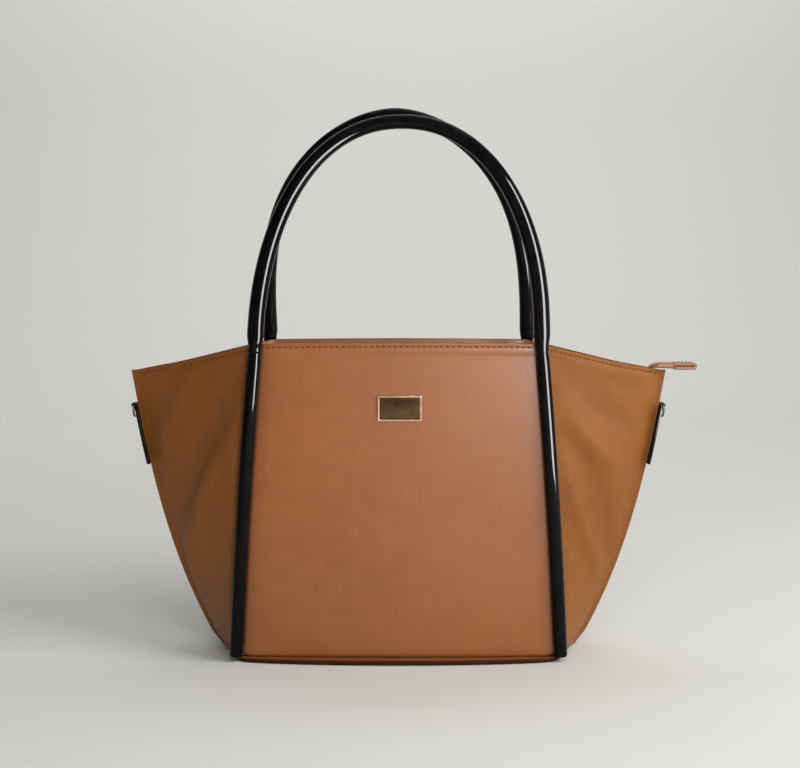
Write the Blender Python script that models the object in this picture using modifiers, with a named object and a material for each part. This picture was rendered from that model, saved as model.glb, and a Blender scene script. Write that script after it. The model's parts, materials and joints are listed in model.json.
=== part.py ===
"""A structured tote bag: leather skin, lining, corner tubes, two rolled handles and a zip top.

Metres, +Z up, front towards -Y, +X to the right. The origin is the middle of the base, on the floor.
"""

import math

import bmesh
import bpy
import numpy as np
from mathutils import Matrix, Vector

MM = 0.001

# Body, outside
RIM_HEIGHT = 246 * MM
RIM_DEPTH = 112 * MM
BASE_DEPTH = 98 * MM
CORNER_RIM = 107.8 * MM
CORNER_BASE = 124.6 * MM
CORNER_BOW = 1.5 * MM
SIDE_RIM_DROP = 24.5 * MM
SIDE_RIM_HEIGHT = RIM_HEIGHT - SIDE_RIM_DROP
SIDE_RIM = 213.5 * MM
SIDE_BASE = 146.6 * MM
SIDE_BOW = 10.1 * MM
SIDE_SKEW = 0.35
WING_CROWN = 3.0 * MM
SEAM_FLANGE = 4.0 * MM

# Leather, board and lining
WALL = 2.0 * MM
SEAM_GAP = 0.3 * MM
LAYER_GAP = 0.8 * MM
BASE_THICK = 4.0 * MM
BASE_EDGE_ROUND = 2.4 * MM
BASE_TIP_WIDTH = 8 * MM
BASE_TIP_TRIM = 1.5
EDGE_ROUND = 0.5 * MM
THIN_EDGE_ROUND = 0.3 * MM
BOARD_THICK = 2.0 * MM
LINING_THICK = 1.0 * MM
LINING_TIP = WALL + 2.0 * MM
FACING_THICK = 1.4 * MM
FACING_HEIGHT = 34 * MM
TIP_GAP = 0.4 * MM

# Corner tubes and handles
LEG_RADIUS = 5.0 * MM
LEG_STAND_OFF = 2.0 * MM
LEG_GAP = 0.45 * MM
HANDLE_RADIUS = 6.25 * MM
HANDLE_RISE = 173 * MM
HANDLE_APEX = RIM_HEIGHT + HANDLE_RISE
BACK_HANDLE_EXTRA = 6.7 * MM
HANDLE_SWAY = 2.7 * MM
FRONT_ARCH_POWERS = (2.15, 2.15)
BACK_ARCH_POWERS = (1.8, 2.75)
HANDLE_BORE = 4.4 * MM
CORE_GAP = 0.4 * MM
CORE_RADIUS = HANDLE_BORE - CORE_GAP
CORE_END = 4.0 * MM
TURNING_GAP = 0.3 * MM

# Zip
ZIP_LIFT = 5.0 * MM
ZIP_HEIGHT = SIDE_RIM_HEIGHT + ZIP_LIFT
FLAP_CORNER_GAP = 9.8 * MM
FLAP_HALF_LENGTH = CORNER_RIM - FLAP_CORNER_GAP
FLAP_THICK = 1.4 * MM
FLAP_HINGE_GAP = 0.5 * MM
FLAP_INNER = 9.0 * MM
TAPE_THICK = 0.7 * MM
TAPE_WIDTH = 10.5 * MM
END_TAPE_WIDTH = 4.6 * MM
TOOTH_PITCH = 3.6 * MM
TOOTH_LENGTH = 2.0 * MM
TOOTH_ROOT = 1.7 * MM
TOOTH_SIDE_GAP = 0.4 * MM
TOOTH_TIP = TOOTH_PITCH - TOOTH_ROOT - 2 * TOOTH_SIDE_GAP
TOOTH_HEIGHT = 2.6 * MM
TOOTH_OVERLAP = 1.6 * MM
SPINE_DEPTH = 2.0 * MM
GROOVE_DEPTH = 1.3 * MM
SECTION_GAP = 2.5 * MM
ZIP_SETBACK = 54.0 * MM
ZIP_CLOSED_END = SIDE_RIM - ZIP_SETBACK
ZIP_TAIL_SETBACK = 33.5 * MM
ZIP_OPEN_END = SIDE_RIM - ZIP_TAIL_SETBACK
STOP_LENGTH = 2.4 * MM
STOP_JAW = 1.5 * MM
TAPE_PAST_STOP = 3.0 * MM
GUSSET_SETBACK = 31.5 * MM
GUSSET_END = SIDE_RIM - GUSSET_SETBACK
GUSSET_MIN_WIDTH = 1.0 * MM
GROOVE_PAST_END = 1.0 * MM
STOP_WEB = 1.0 * MM
BOTTOM_STOP_REACH = 2.0 * MM
BOTTOM_STOP_WEB = 0.4 * MM

# Slider and puller
SLIDER_LENGTH = 14 * MM
SLIDER_STOP_GAP = 2.0 * MM
SLIDER_REST = ZIP_CLOSED_END - SLIDER_LENGTH / 2 - SLIDER_STOP_GAP
SLIDER_PLATE = 1.0 * MM
SLIDER_CLEAR = 0.3 * MM
SLIDER_NOSE = 2.0 * MM
SLIDER_TAIL = 3.0 * MM
FLANGE_THICK = 0.9 * MM
POST_THICK = 0.8 * MM
POST_LENGTH = 3.5 * MM
BRIDGE_WIRE = 0.8 * MM
BRIDGE_CLEAR = 2.8 * MM
BRIDGE_LENGTH = 8 * MM
BRIDGE_BEND = 1.2 * MM
PULLER_LENGTH = 23 * MM
PULLER_WIDTH = 8 * MM
PULLER_THICK = 1.4 * MM
PULLER_BAR = 1.4 * MM
PULLER_EYE = 3.9 * MM
PULLER_EYE_WIDTH = 4.4 * MM
PULLER_NECK = 6.4 * MM
PULLER_SHOULDER = 4.0 * MM
PULLER_SET_BACK = 1.5 * MM

# Zip tail tab
TAB_LENGTH = 21 * MM
TAB_WIDTH = 18 * MM
TAB_LAYER = 2.2 * MM
TAIL_OVERHANG = 25.5 * MM
TAB_END = SIDE_RIM + TAIL_OVERHANG

# Side tabs and rings
STRAP_DROP = 26 * MM
STRAP_LENGTH = 47.5 * MM
STRAP_TOP = SIDE_RIM_HEIGHT - STRAP_DROP
STRAP_BOTTOM = STRAP_TOP - STRAP_LENGTH
STRAP_THICK = 2.0 * MM
STRAP_WIDTH = 15 * MM
RING_WIRE = 0.8 * MM
RING_PLAY = 0.35 * MM
RING_DROP = 9.5 * MM
RING_BEND = 1.2 * MM
LOOP_LEATHER = 0.9 * MM

# Nameplate
PLATE_WIDTH = 33 * MM
PLATE_HEIGHT = 19 * MM
PLATE_THICK = 1.6 * MM
PLATE_DROP = 49 * MM
PLATE_CENTRE = RIM_HEIGHT - PLATE_DROP
PLATE_RIM = 1.4 * MM
PLATE_RECESS = 0.5 * MM

TAN_COLOUR = (0.42, 0.195, 0.085)
PATENT_COLOUR = (0.004, 0.004, 0.005)
LINING_COLOUR = (0.33, 0.25, 0.18)
BOARD_COLOUR = (0.20, 0.17, 0.14)
GOLD_COLOUR = (0.80, 0.55, 0.25)
STEEL_COLOUR = (0.60, 0.60, 0.62)
ROPE_COLOUR = (0.62, 0.58, 0.50)

DEPTH_SAMPLES = 60
GUSSET_STATIONS = 9

SEAT = BASE_THICK + SEAM_GAP
INSIDE = WALL + LAYER_GAP
CLEAR_INSIDE = INSIDE + FACING_THICK


def clear_scene():
    for obj in list(bpy.data.objects):
        bpy.data.objects.remove(obj, do_unlink=True)


def collection(name):
    made = bpy.data.collections.new(name)
    bpy.context.scene.collection.children.link(made)
    return made


def material(name, colour, roughness, metallic=0.0):
    made = bpy.data.materials.get(name)
    if made:
        return made
    made = bpy.data.materials.new(name)
    made.use_nodes = True
    shader = made.node_tree.nodes["Principled BSDF"]
    shader.inputs["Base Color"].default_value = (*colour, 1.0)
    shader.inputs["Roughness"].default_value = roughness
    shader.inputs["Metallic"].default_value = metallic
    made.diffuse_color = (*colour, 1.0)
    return made


def add(name, mesh, finish, group, smooth=False):
    obj = bpy.data.objects.new(name, mesh)
    group.objects.link(obj)
    mesh.materials.clear()
    mesh.materials.append(finish)
    if smooth:
        mesh.shade_smooth()
        mesh.set_sharp_from_angle(angle=math.radians(40))
    return obj


def mesh_from(bm, name):
    mesh = bpy.data.meshes.new(name)
    bm.to_mesh(mesh)
    bm.free()
    return mesh


def grid_mesh(name, columns, rows, point):
    """A grid whose vertex at (u, v), each from 0 to 1, is moved to point(u, v)."""
    bm = bmesh.new()
    bmesh.ops.create_grid(bm, x_segments=columns, y_segments=rows, size=1.0)
    for vertex in bm.verts:
        vertex.co = point((vertex.co.x + 1) / 2, (vertex.co.y + 1) / 2)
    return mesh_from(bm, name)


def solidify(obj, thickness):
    shell = obj.modifiers.new("leather", "SOLIDIFY")
    shell.thickness = thickness
    shell.offset = -1
    shell.use_even_offset = True


def bevel(obj, width, segments=1, limit=80):
    rounding = obj.modifiers.new("rounding", "BEVEL")
    rounding.width = width
    rounding.segments = segments
    rounding.limit_method = "ANGLE"
    rounding.angle_limit = math.radians(limit)


def outline_mesh(name, loops, thickness):
    """A flat outline in X and Y, with any holes, as a plate about z = 0."""
    curve = bpy.data.curves.new(name, "CURVE")
    curve.dimensions = "2D"
    curve.fill_mode = "BOTH"
    curve.extrude = thickness / 2
    for loop in loops:
        spline = curve.splines.new("POLY")
        spline.points.add(len(loop) - 1)
        for point, (x, y) in zip(spline.points, loop):
            point.co = (x, y, 0, 1)
        spline.use_cyclic_u = True
    return curve_mesh(curve)


def curve_mesh(curve):
    """The closed mesh of a curve, its caps welded to its sides."""
    holder = bpy.data.objects.new(curve.name, curve)
    bpy.context.scene.collection.objects.link(holder)
    bpy.context.view_layer.update()
    graph = bpy.context.evaluated_depsgraph_get()
    mesh = bpy.data.meshes.new_from_object(holder.evaluated_get(graph))
    bpy.data.objects.remove(holder, do_unlink=True)
    bm = bmesh.new()
    bm.from_mesh(mesh)
    bmesh.ops.remove_doubles(bm, verts=bm.verts, dist=1e-6)
    bmesh.ops.recalc_face_normals(bm, faces=bm.faces)
    bm.to_mesh(mesh)
    bm.free()
    return mesh


def tube_mesh(name, points, radius, resolution=3, scales=None, cyclic=False):
    curve = bpy.data.curves.new(name, "CURVE")
    curve.dimensions = "3D"
    curve.bevel_depth = radius
    curve.bevel_resolution = resolution
    curve.use_fill_caps = not cyclic
    spline = curve.splines.new("POLY")
    spline.points.add(len(points) - 1)
    for i, point in enumerate(points):
        spline.points[i].co = (*point, 1)
        spline.points[i].radius = scales[i] if scales else 1.0
    spline.use_cyclic_u = cyclic
    return curve_mesh(curve)


def box_mesh(name, low, high):
    bm = bmesh.new()
    bmesh.ops.create_cube(bm, size=1.0)
    low, high = Vector(low), Vector(high)
    for vertex in bm.verts:
        for axis in range(3):
            middle = (low[axis] + high[axis]) / 2
            vertex.co[axis] = middle + vertex.co[axis] * (high[axis] - low[axis])
    return mesh_from(bm, name)


def boolean(obj, operation, other):
    step = obj.modifiers.new(operation.lower(), "BOOLEAN")
    step.operation = operation
    step.solver = "EXACT"
    step.object = other


def helper(name, mesh, cutters):
    """A cutter, left out of the render and of the part."""
    obj = bpy.data.objects.new(name, mesh)
    cutters.objects.link(obj)
    obj.hide_render = True
    obj.display_type = "WIRE"
    return obj


# The body's form: t runs from 0 at the base to 1 at the rim


def mix(a, b, t):
    return a + (b - a) * t


def arc(t):
    return 4 * t * (1 - t)


def corner_x(t):
    return mix(CORNER_BASE, CORNER_RIM, t) + CORNER_BOW * arc(t)


def half_depth(t):
    return mix(BASE_DEPTH, RIM_DEPTH, t) / 2


def side_x(t):
    """Half width at the side seam, whose bow is fullest below its middle."""
    return mix(SIDE_BASE, SIDE_RIM, t) + SIDE_BOW * arc(t) * (1 - SIDE_SKEW * (2 * t - 1))


def flange_y():
    return WALL + SEAM_GAP / 2


def wing_run(t):
    """From the corner to the seam flange, in plan: the X and Y lengths."""
    return side_x(t) - SEAM_FLANGE - corner_x(t), half_depth(t) - flange_y()


def wing_turn(t):
    """The angle in plan between the front panel and its wing."""
    x, y = wing_run(t)
    return math.atan2(y, x)


def corner_back(t, inset):
    """How far an inset layer's corner lies back from the outer corner, along either wall."""
    return inset * math.tan(wing_turn(t) / 2)


def wing_point(t, s, inset=0.0):
    """A point of the front right wing: s is 0 at the corner tube and 1 at the seam flange."""
    x, y = wing_run(t)
    turn = wing_turn(t)
    out = WING_CROWN * arc(max(0.0, min(1.0, s))) * arc(t) - inset
    corner_z = mix(SEAT, RIM_HEIGHT, t)
    side_z = mix(SEAT, SIDE_RIM_HEIGHT, t)
    return Vector(
        (
            corner_x(t) + x * s + math.sin(turn) * out,
            -half_depth(t) + y * s - math.cos(turn) * out,
            mix(corner_z, side_z, s),
        )
    )


def wing_reach(t, inset, stop):
    """The s at which the inset layer comes within stop of the plane between front and back."""
    run = wing_run(t)[1]
    return (half_depth(t) - math.cos(wing_turn(t)) * inset - stop) / run


def panel_point(t, u, inset=0.0):
    """A point of the front panel, u from -1 to 1, whose ends are the layer's corners."""
    half = corner_x(t) - corner_back(t, inset)
    return Vector((u * half, -half_depth(t) + inset, mix(SEAT, RIM_HEIGHT, t)))


def front_walk(t, inset, stop, wing_steps=4, panel_steps=6):
    """The front half of a layer in plan, from its left tip along both corners to its right tip."""
    x, y = wing_run(t)
    length = math.hypot(x, y)
    first = corner_back(t, inset) / length
    last = wing_reach(t, inset, stop)
    right = [wing_point(t, mix(first, last, i / wing_steps), inset) for i in range(1, wing_steps + 1)]
    panel = [panel_point(t, mix(-1, 1, i / panel_steps), inset) for i in range(panel_steps + 1)]
    left = [Vector((-p.x, p.y, p.z)) for p in reversed(right)]
    return left + panel + right


def turned_back(points):
    """The same points of the back half, in the order that keeps them anticlockwise."""
    return [Vector((-p.x, -p.y, p.z)) for p in points]


def half_depth_inside(x, z, inset):
    """The half depth of a layer's inner room at this X and height."""
    steps = np.linspace(0.0, 1.0, DEPTH_SAMPLES)
    xs, ys = [], []
    for s in steps:
        top = mix(RIM_HEIGHT, SIDE_RIM_HEIGHT, s)
        t = min(1.0, (z - SEAT) / (top - SEAT))
        point = wing_point(t, s, inset)
        xs.append(point.x)
        ys.append(-point.y)
    t_panel = (z - SEAT) / (RIM_HEIGHT - SEAT)
    return min(half_depth(t_panel) - inset, float(np.interp(abs(x), xs, ys)))


# Skin


def panels(group, leather):
    for name, back in (("front_panel", False), ("back_panel", True)):

        def point(u, v):
            half = corner_x(v) - corner_back(v, WALL) - SEAM_GAP / 2
            place = Vector((mix(-half, half, u), -half_depth(v), mix(SEAT, RIM_HEIGHT, v)))
            return turned_back([place])[0] if back else place

        obj = add(name, grid_mesh(name, 6, 10, point), leather, group)
        solidify(obj, WALL)
        bevel(obj, EDGE_ROUND)


def wings(group, leather):
    def front_right(u, v):
        run_x, run_y = wing_run(v)
        first = (corner_back(v, WALL) + SEAM_GAP / 2) / math.hypot(run_x, run_y)
        steps = 6
        if u > (steps - 0.5) / steps:
            end = wing_point(v, 1.0)
            return Vector((end.x + SEAM_FLANGE, end.y, end.z))
        return wing_point(v, mix(first, 1.0, u * steps / (steps - 1)))

    places = (
        ("front_right_wing", 1, 1),
        ("front_left_wing", -1, 1),
        ("back_right_wing", 1, -1),
        ("back_left_wing", -1, -1),
    )
    for name, side, front in places:

        def point(u, v):
            place = front_right(u if side * front > 0 else 1 - u, v)
            return Vector((place.x * side, place.y * front, place.z))

        obj = add(name, grid_mesh(name, 6, 10, point), leather, group)
        solidify(obj, WALL)
        bevel(obj, EDGE_ROUND)


def base(group, leather, board):
    def outline(inset):
        corner = corner_x(0) - corner_back(0, inset)
        depth = half_depth(0) - inset
        tip = side_x(0) - inset / math.cos(wing_turn(0) / 2) - BASE_TIP_TRIM * inset
        blunt = BASE_TIP_WIDTH / 2
        right_half = [(corner, -depth), (tip, -blunt), (tip, blunt), (corner, depth)]
        return right_half + [(-x, -y) for x, y in right_half]

    mesh = outline_mesh("base_panel", [outline(0.0)], BASE_THICK)
    obj = add("base_panel", mesh, leather, group)
    obj.location.z = BASE_THICK / 2
    bevel(obj, BASE_EDGE_ROUND / 2, segments=2, limit=30)
    mesh = outline_mesh("base_board", [outline(INSIDE)], BOARD_THICK)
    obj = add("base_board", mesh, board, group)
    obj.location.z = SEAT + BOARD_THICK / 2


def facings(group, leather):
    low = 1 - FACING_HEIGHT / (RIM_HEIGHT - SEAT)
    for name, back in (("front_facing", False), ("back_facing", True)):
        rows = 3
        columns = len(front_walk(1, INSIDE, 0)) - 1

        def point(u, v):
            t = mix(low, 1.0, v)
            stop = FACING_THICK * math.cos(wing_turn(t)) + TIP_GAP
            place = front_walk(t, INSIDE, stop)[round(u * columns)]
            return turned_back([place])[0] if back else place

        obj = add(name, grid_mesh(name, columns, rows, point), leather, group)
        solidify(obj, FACING_THICK)
        bevel(obj, THIN_EDGE_ROUND)


def lining(group, fabric):
    high = 1 - (FACING_HEIGHT + SEAM_GAP) / (RIM_HEIGHT - SEAT)
    low = (BOARD_THICK + LAYER_GAP) / (RIM_HEIGHT - SEAT)
    front = front_walk(1, INSIDE, LINING_TIP)
    count = 2 * len(front)

    def ring(t):
        walk = front_walk(t, INSIDE, LINING_TIP)
        return walk + turned_back(walk)

    bm = bmesh.new()
    rows = 9
    levels = []
    for i in range(rows):
        levels.append([bm.verts.new(place) for place in ring(mix(low, high, i / (rows - 1)))])
    for below, above in zip(levels, levels[1:]):
        for i in range(count):
            j = (i + 1) % count
            bm.faces.new((below[i], below[j], above[j], above[i]))
    half = len(front)
    floor = levels[0]
    for i in range(half - 1):
        partner = count - 1 - i
        bm.faces.new((floor[i + 1], floor[i], floor[partner], floor[partner - 1]))
    obj = add("lining", mesh_from(bm, "lining"), fabric, group)
    solidify(obj, LINING_THICK)


def bag_volume(cutters):
    """The body's outer form, grown by a gap, that the corner tubes are cut to."""
    rows = 10
    bm = bmesh.new()
    levels = []
    for i in range(rows + 1):
        t = i / rows
        walk = front_walk(t, -LEG_GAP, 0.0, wing_steps=5, panel_steps=1)
        walk = walk[:-1] + turned_back(walk)[:-1]
        lift = LEG_GAP if i == rows else (-SEAT if i == 0 else 0)
        levels.append([bm.verts.new(p + Vector((0, 0, lift))) for p in walk])
    count = len(levels[0])
    for below, above in zip(levels, levels[1:]):
        for i in range(count):
            j = (i + 1) % count
            bm.faces.new((below[i], below[j], above[j], above[i]))
    half = count // 2
    for level, flip in ((levels[0], True), (levels[-1], False)):
        for i in range(half):
            corners = [level[i], level[i + 1], level[(count - 1 - i) % count], level[(count - i) % count]]
            corners = list(dict.fromkeys(corners))
            if len(corners) > 2:
                bm.faces.new(reversed(corners) if flip else corners)
    bmesh.ops.recalc_face_normals(bm, faces=bm.faces)
    return helper("bag_volume", mesh_from(bm, "bag_volume"), cutters)


# Corner tubes and handles


def leg_centre(t):
    """The centre of the front right corner tube."""
    half_turn = wing_turn(t) / 2
    x = corner_x(t) + LEG_STAND_OFF * math.sin(half_turn)
    y = -half_depth(t) - LEG_STAND_OFF * math.cos(half_turn)
    return Vector((x, y, mix(SEAT, RIM_HEIGHT, t)))


HINGE_HEIGHT = RIM_HEIGHT + HANDLE_RADIUS + TURNING_GAP


def legs(group, patent, volume):
    steps = 10
    for name, side, front in (
        ("front_right_leg", 1, 1),
        ("front_left_leg", -1, 1),
        ("back_right_leg", 1, -1),
        ("back_left_leg", -1, -1),
    ):
        places = []
        for i in range(steps + 1):
            centre = leg_centre(i / steps)
            places.append((centre.x * side, centre.y * front, centre.z))
        obj = add(name, tube_mesh(name, places, LEG_RADIUS), patent, group, smooth=True)
        boolean(obj, "DIFFERENCE", volume)


def arch(half_width, height, sway, powers, below):
    """Centre line of a handle in its own plane, from below the left hinge to below the right.

    Its form is a superellipse with a power for X and one for the height, drawn sideways by sway at the top.
    """
    turns = 30
    line = []
    for i in range(turns + 1):
        angle = math.pi * i / turns
        x = -half_width * math.copysign(abs(math.cos(angle)) ** (2 / powers[0]), math.cos(angle))
        z = height * math.sin(angle) ** (2 / powers[1]) if 0 < i < turns else 0.0
        up = z / height
        line.append((x + sway * up * (2 - up), 0.0, z))
    left = [(-half_width, 0.0, -drop) for drop in below]
    right = [(half_width, 0.0, -drop) for drop in reversed(below)]
    return left + line + right


def handles(group, cutters, patent, rope):
    top = leg_centre(1)
    apex_y = HANDLE_RADIUS + TURNING_GAP / 2
    reach = -top.y - apex_y
    rounds = [math.radians(angle) for angle in (80, 60, 40, 20)]
    for name, front, extra, powers in (
        ("front_handle", 1, 0.0, FRONT_ARCH_POWERS),
        ("back_handle", -1, BACK_HANDLE_EXTRA, BACK_ARCH_POWERS),
    ):
        sway = HANDLE_SWAY * front
        rise = HANDLE_APEX + extra - HINGE_HEIGHT
        height = math.hypot(rise, reach)
        lean = math.atan2(reach, rise)
        ends = [HANDLE_RADIUS * math.sin(angle) for angle in rounds]
        scales = [math.cos(angle) for angle in rounds]
        line = arch(top.x, height, sway, powers, ends)
        along = scales + [1.0] * (len(line) - 2 * len(scales)) + list(reversed(scales))
        mesh = tube_mesh(name, line, HANDLE_RADIUS, scales=along)
        tube = add(name, mesh, patent, group, smooth=True)
        through = arch(top.x, height, sway, powers, [2 * HANDLE_RADIUS])
        bore = helper(name + "_bore", tube_mesh(name + "_bore", through, HANDLE_BORE, 2), cutters)
        inside = arch(top.x, height, sway, powers, [CORE_END])
        mesh = tube_mesh(name + "_core", inside, CORE_RADIUS, 2)
        core = add(name + "_core", mesh, rope, group, smooth=True)
        for obj in (tube, bore, core):
            obj.location = (0, top.y * front, HINGE_HEIGHT)
            obj.rotation_euler = (-lean * front, 0, 0)
        boolean(tube, "DIFFERENCE", bore)


# Zip


def flap_hinge():
    """The Y distance from the middle to each flap's sewn edge."""
    level = (ZIP_HEIGHT - SEAT) / (RIM_HEIGHT - SEAT)
    return half_depth(level) - CLEAR_INSIDE - FLAP_HINGE_GAP


FLAP_LEVEL = ZIP_HEIGHT + TAPE_THICK / 2 + SEAM_GAP + FLAP_THICK / 2
SPINE_FACE = TOOTH_LENGTH - TOOTH_OVERLAP / 2
END_SHIFT = TOOTH_OVERLAP / 2 + POST_THICK / 2 + SLIDER_CLEAR
TAPE_EDGE = SPINE_FACE + SPINE_DEPTH - GROOVE_DEPTH + SEAM_GAP


def tooth_row(name, start, end, phase, shift, finish, group, cutters, front):
    """A row of teeth on its spine, from start to end in X, with the tape's groove along its back."""
    if front < 0:
        start, end, phase = -end, -start, -phase
    face = SPINE_FACE + shift
    back = face + SPINE_DEPTH
    outline = [(start, -back), (end, -back), (end, -face)]
    first = math.ceil((start + TOOTH_ROOT - phase) / TOOTH_PITCH)
    last = math.floor((end - TOOTH_ROOT - phase) / TOOTH_PITCH)
    for i in range(last, first - 1, -1):
        x = i * TOOTH_PITCH + phase
        tip = TOOTH_LENGTH - face
        outline += [
            (x + TOOTH_ROOT / 2, -face),
            (x + TOOTH_TIP / 2, tip),
            (x - TOOTH_TIP / 2, tip),
            (x - TOOTH_ROOT / 2, -face),
        ]
    outline.append((start, -face))
    obj = add(name, outline_mesh(name, [outline], TOOTH_HEIGHT), finish, group)
    half_groove = TAPE_THICK / 2 + SEAM_GAP
    low = (start - GROOVE_PAST_END, -(back + GROOVE_PAST_END), -half_groove)
    high = (end + GROOVE_PAST_END, -(back - GROOVE_DEPTH), half_groove)
    groove = helper(name + "_groove", box_mesh(name + "_groove", low, high), cutters)
    for made in (obj, groove):
        made.location.z = ZIP_HEIGHT
        made.rotation_euler.z = 0 if front > 0 else math.pi
    boolean(obj, "DIFFERENCE", groove)


def plate(name, corners, thickness, finish, group):
    return add(name, outline_mesh(name, [corners], thickness), finish, group)


def flaps(group, cutters, leather, tape_cloth, metal):
    hinge = flap_hinge()
    for side, front in (("front", 1), ("back", -1)):
        fold = Vector((0, -hinge * front, FLAP_LEVEL - FLAP_THICK / 2))
        x = FLAP_HALF_LENGTH

        def strip(name, near, far, level, thickness, finish):
            corners = [(-x, -far * front), (x, -far * front), (x, -near * front), (-x, -near * front)]
            corners = [(a, b - fold.y) for a, b in corners]
            made = plate(name, corners, thickness, finish, group)
            made.data.transform(Matrix.Translation((0, 0, level - fold.z)))
            made.location = fold
            return made

        flap = strip(f"{side}_zip_flap", FLAP_INNER, hinge, FLAP_LEVEL, FLAP_THICK, leather)
        bevel(flap, THIN_EDGE_ROUND)
        tape_back = TAPE_EDGE + TAPE_WIDTH
        strip(f"{side}_zip_tape", TAPE_EDGE, tape_back, ZIP_HEIGHT, TAPE_THICK, tape_cloth)
        phase = 0.0 if front > 0 else TOOTH_PITCH / 2
        tooth_row(f"{side}_teeth", -x, x, phase, 0.0, metal, group, cutters, front)


def zip_ends(group, cutters, leather, tape_cloth, metal):
    start = FLAP_HALF_LENGTH + SECTION_GAP
    inner = FLAP_INNER
    edge = TAPE_EDGE + END_SHIFT
    tape_outer = edge + END_TAPE_WIDTH
    for side, front in (("front", 1), ("back", -1)):
        phase = 0.0 if front > 0 else TOOTH_PITCH / 2
        for end_name, sign in (("left", -1), ("tail", 1)):
            teeth_end = ZIP_CLOSED_END if sign < 0 else ZIP_OPEN_END
            tape_end = teeth_end + TAPE_PAST_STOP if sign < 0 else TAB_END - 2 * TAB_LAYER
            ends = sorted((start * sign, teeth_end * sign))
            name = f"{side}_{end_name}_teeth"
            tooth_row(name, ends[0], ends[1], phase, END_SHIFT, metal, group, cutters, front)
            corners = [(start, -tape_outer), (tape_end, -tape_outer), (tape_end, -edge), (start, -edge)]
            corners = [(x * sign, y * front) for x, y in corners]
            tape = plate(f"{side}_{end_name}_tape", corners, TAPE_THICK, tape_cloth, group)
            tape.location.z = ZIP_HEIGHT
            stations = np.linspace(start, GUSSET_END, GUSSET_STATIONS)
            outer = []
            for x in stations:
                depth = half_depth_inside(x, FLAP_LEVEL, CLEAR_INSIDE) - FLAP_HINGE_GAP
                if depth > inner + GUSSET_MIN_WIDTH:
                    outer.append((x, -depth))
            corners = [(outer[-1][0], -inner), (start, -inner)] + outer
            corners = [(x * sign, y * front) for x, y in corners]
            gusset = plate(f"{side}_{end_name}_gusset", corners, FLAP_THICK, leather, group)
            gusset.location.z = FLAP_LEVEL
            bevel(gusset, THIN_EDGE_ROUND)


def stops(group, metal):
    reach = TAPE_EDGE + END_SHIFT + STOP_JAW
    face = SPINE_FACE + END_SHIFT
    half = TOOTH_HEIGHT / 2
    lift = TAPE_THICK / 2 + SEAM_GAP
    left = -ZIP_CLOSED_END - SEAM_GAP
    for name, front in (("front_top_stop", 1), ("back_top_stop", -1)):
        profile = [
            (face, -half), (reach, -half), (reach, -lift), (face + STOP_WEB, -lift),
            (face + STOP_WEB, lift), (reach, lift), (reach, half), (face, half),
        ]
        mesh = outline_mesh(name, [profile], STOP_LENGTH)
        obj = add(name, mesh, metal, group)
        obj.rotation_euler = (math.pi / 2, 0, -math.pi / 2 * front)
        obj.location = (left - STOP_LENGTH / 2, 0, ZIP_HEIGHT)
    right = ZIP_OPEN_END + SEAM_GAP
    reach = face + BOTTOM_STOP_REACH
    name = "bottom_stop"
    low = face + BOTTOM_STOP_WEB
    profile = [
        (-reach, -half), (reach, -half), (reach, -lift), (low, -lift),
        (low, lift), (reach, lift), (reach, half), (-reach, half),
        (-reach, lift), (-low, lift), (-low, -lift), (-reach, -lift),
    ]
    obj = add(name, outline_mesh(name, [profile], STOP_LENGTH), metal, group)
    obj.rotation_euler = (math.pi / 2, 0, math.pi / 2)
    obj.location = (right + STOP_LENGTH / 2, 0, ZIP_HEIGHT)


def tail_tab(group, leather):
    """Leather folded round the end of the tape, seen from the side as a U."""
    slot = TAPE_THICK / 2 + SEAM_GAP
    outer = slot + TAB_LAYER
    start = TAB_END - TAB_LENGTH
    bend = TAB_END - outer
    line = [(start, -outer)]
    arc_points = [math.radians(angle) for angle in range(-90, 91, 30)]
    line += [(bend + outer * math.cos(a), outer * math.sin(a)) for a in arc_points]
    line.append((start, outer))
    line.append((start, slot))
    line += [(bend + slot * math.cos(a), slot * math.sin(a)) for a in reversed(arc_points)]
    line.append((start, -slot))
    obj = add("zip_tail_tab", outline_mesh("zip_tail_tab", [line], TAB_WIDTH), leather, group)
    obj.rotation_euler = (math.pi / 2, 0, 0)
    obj.location = (0, 0, ZIP_HEIGHT)
    bevel(obj, THIN_EDGE_ROUND)


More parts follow.
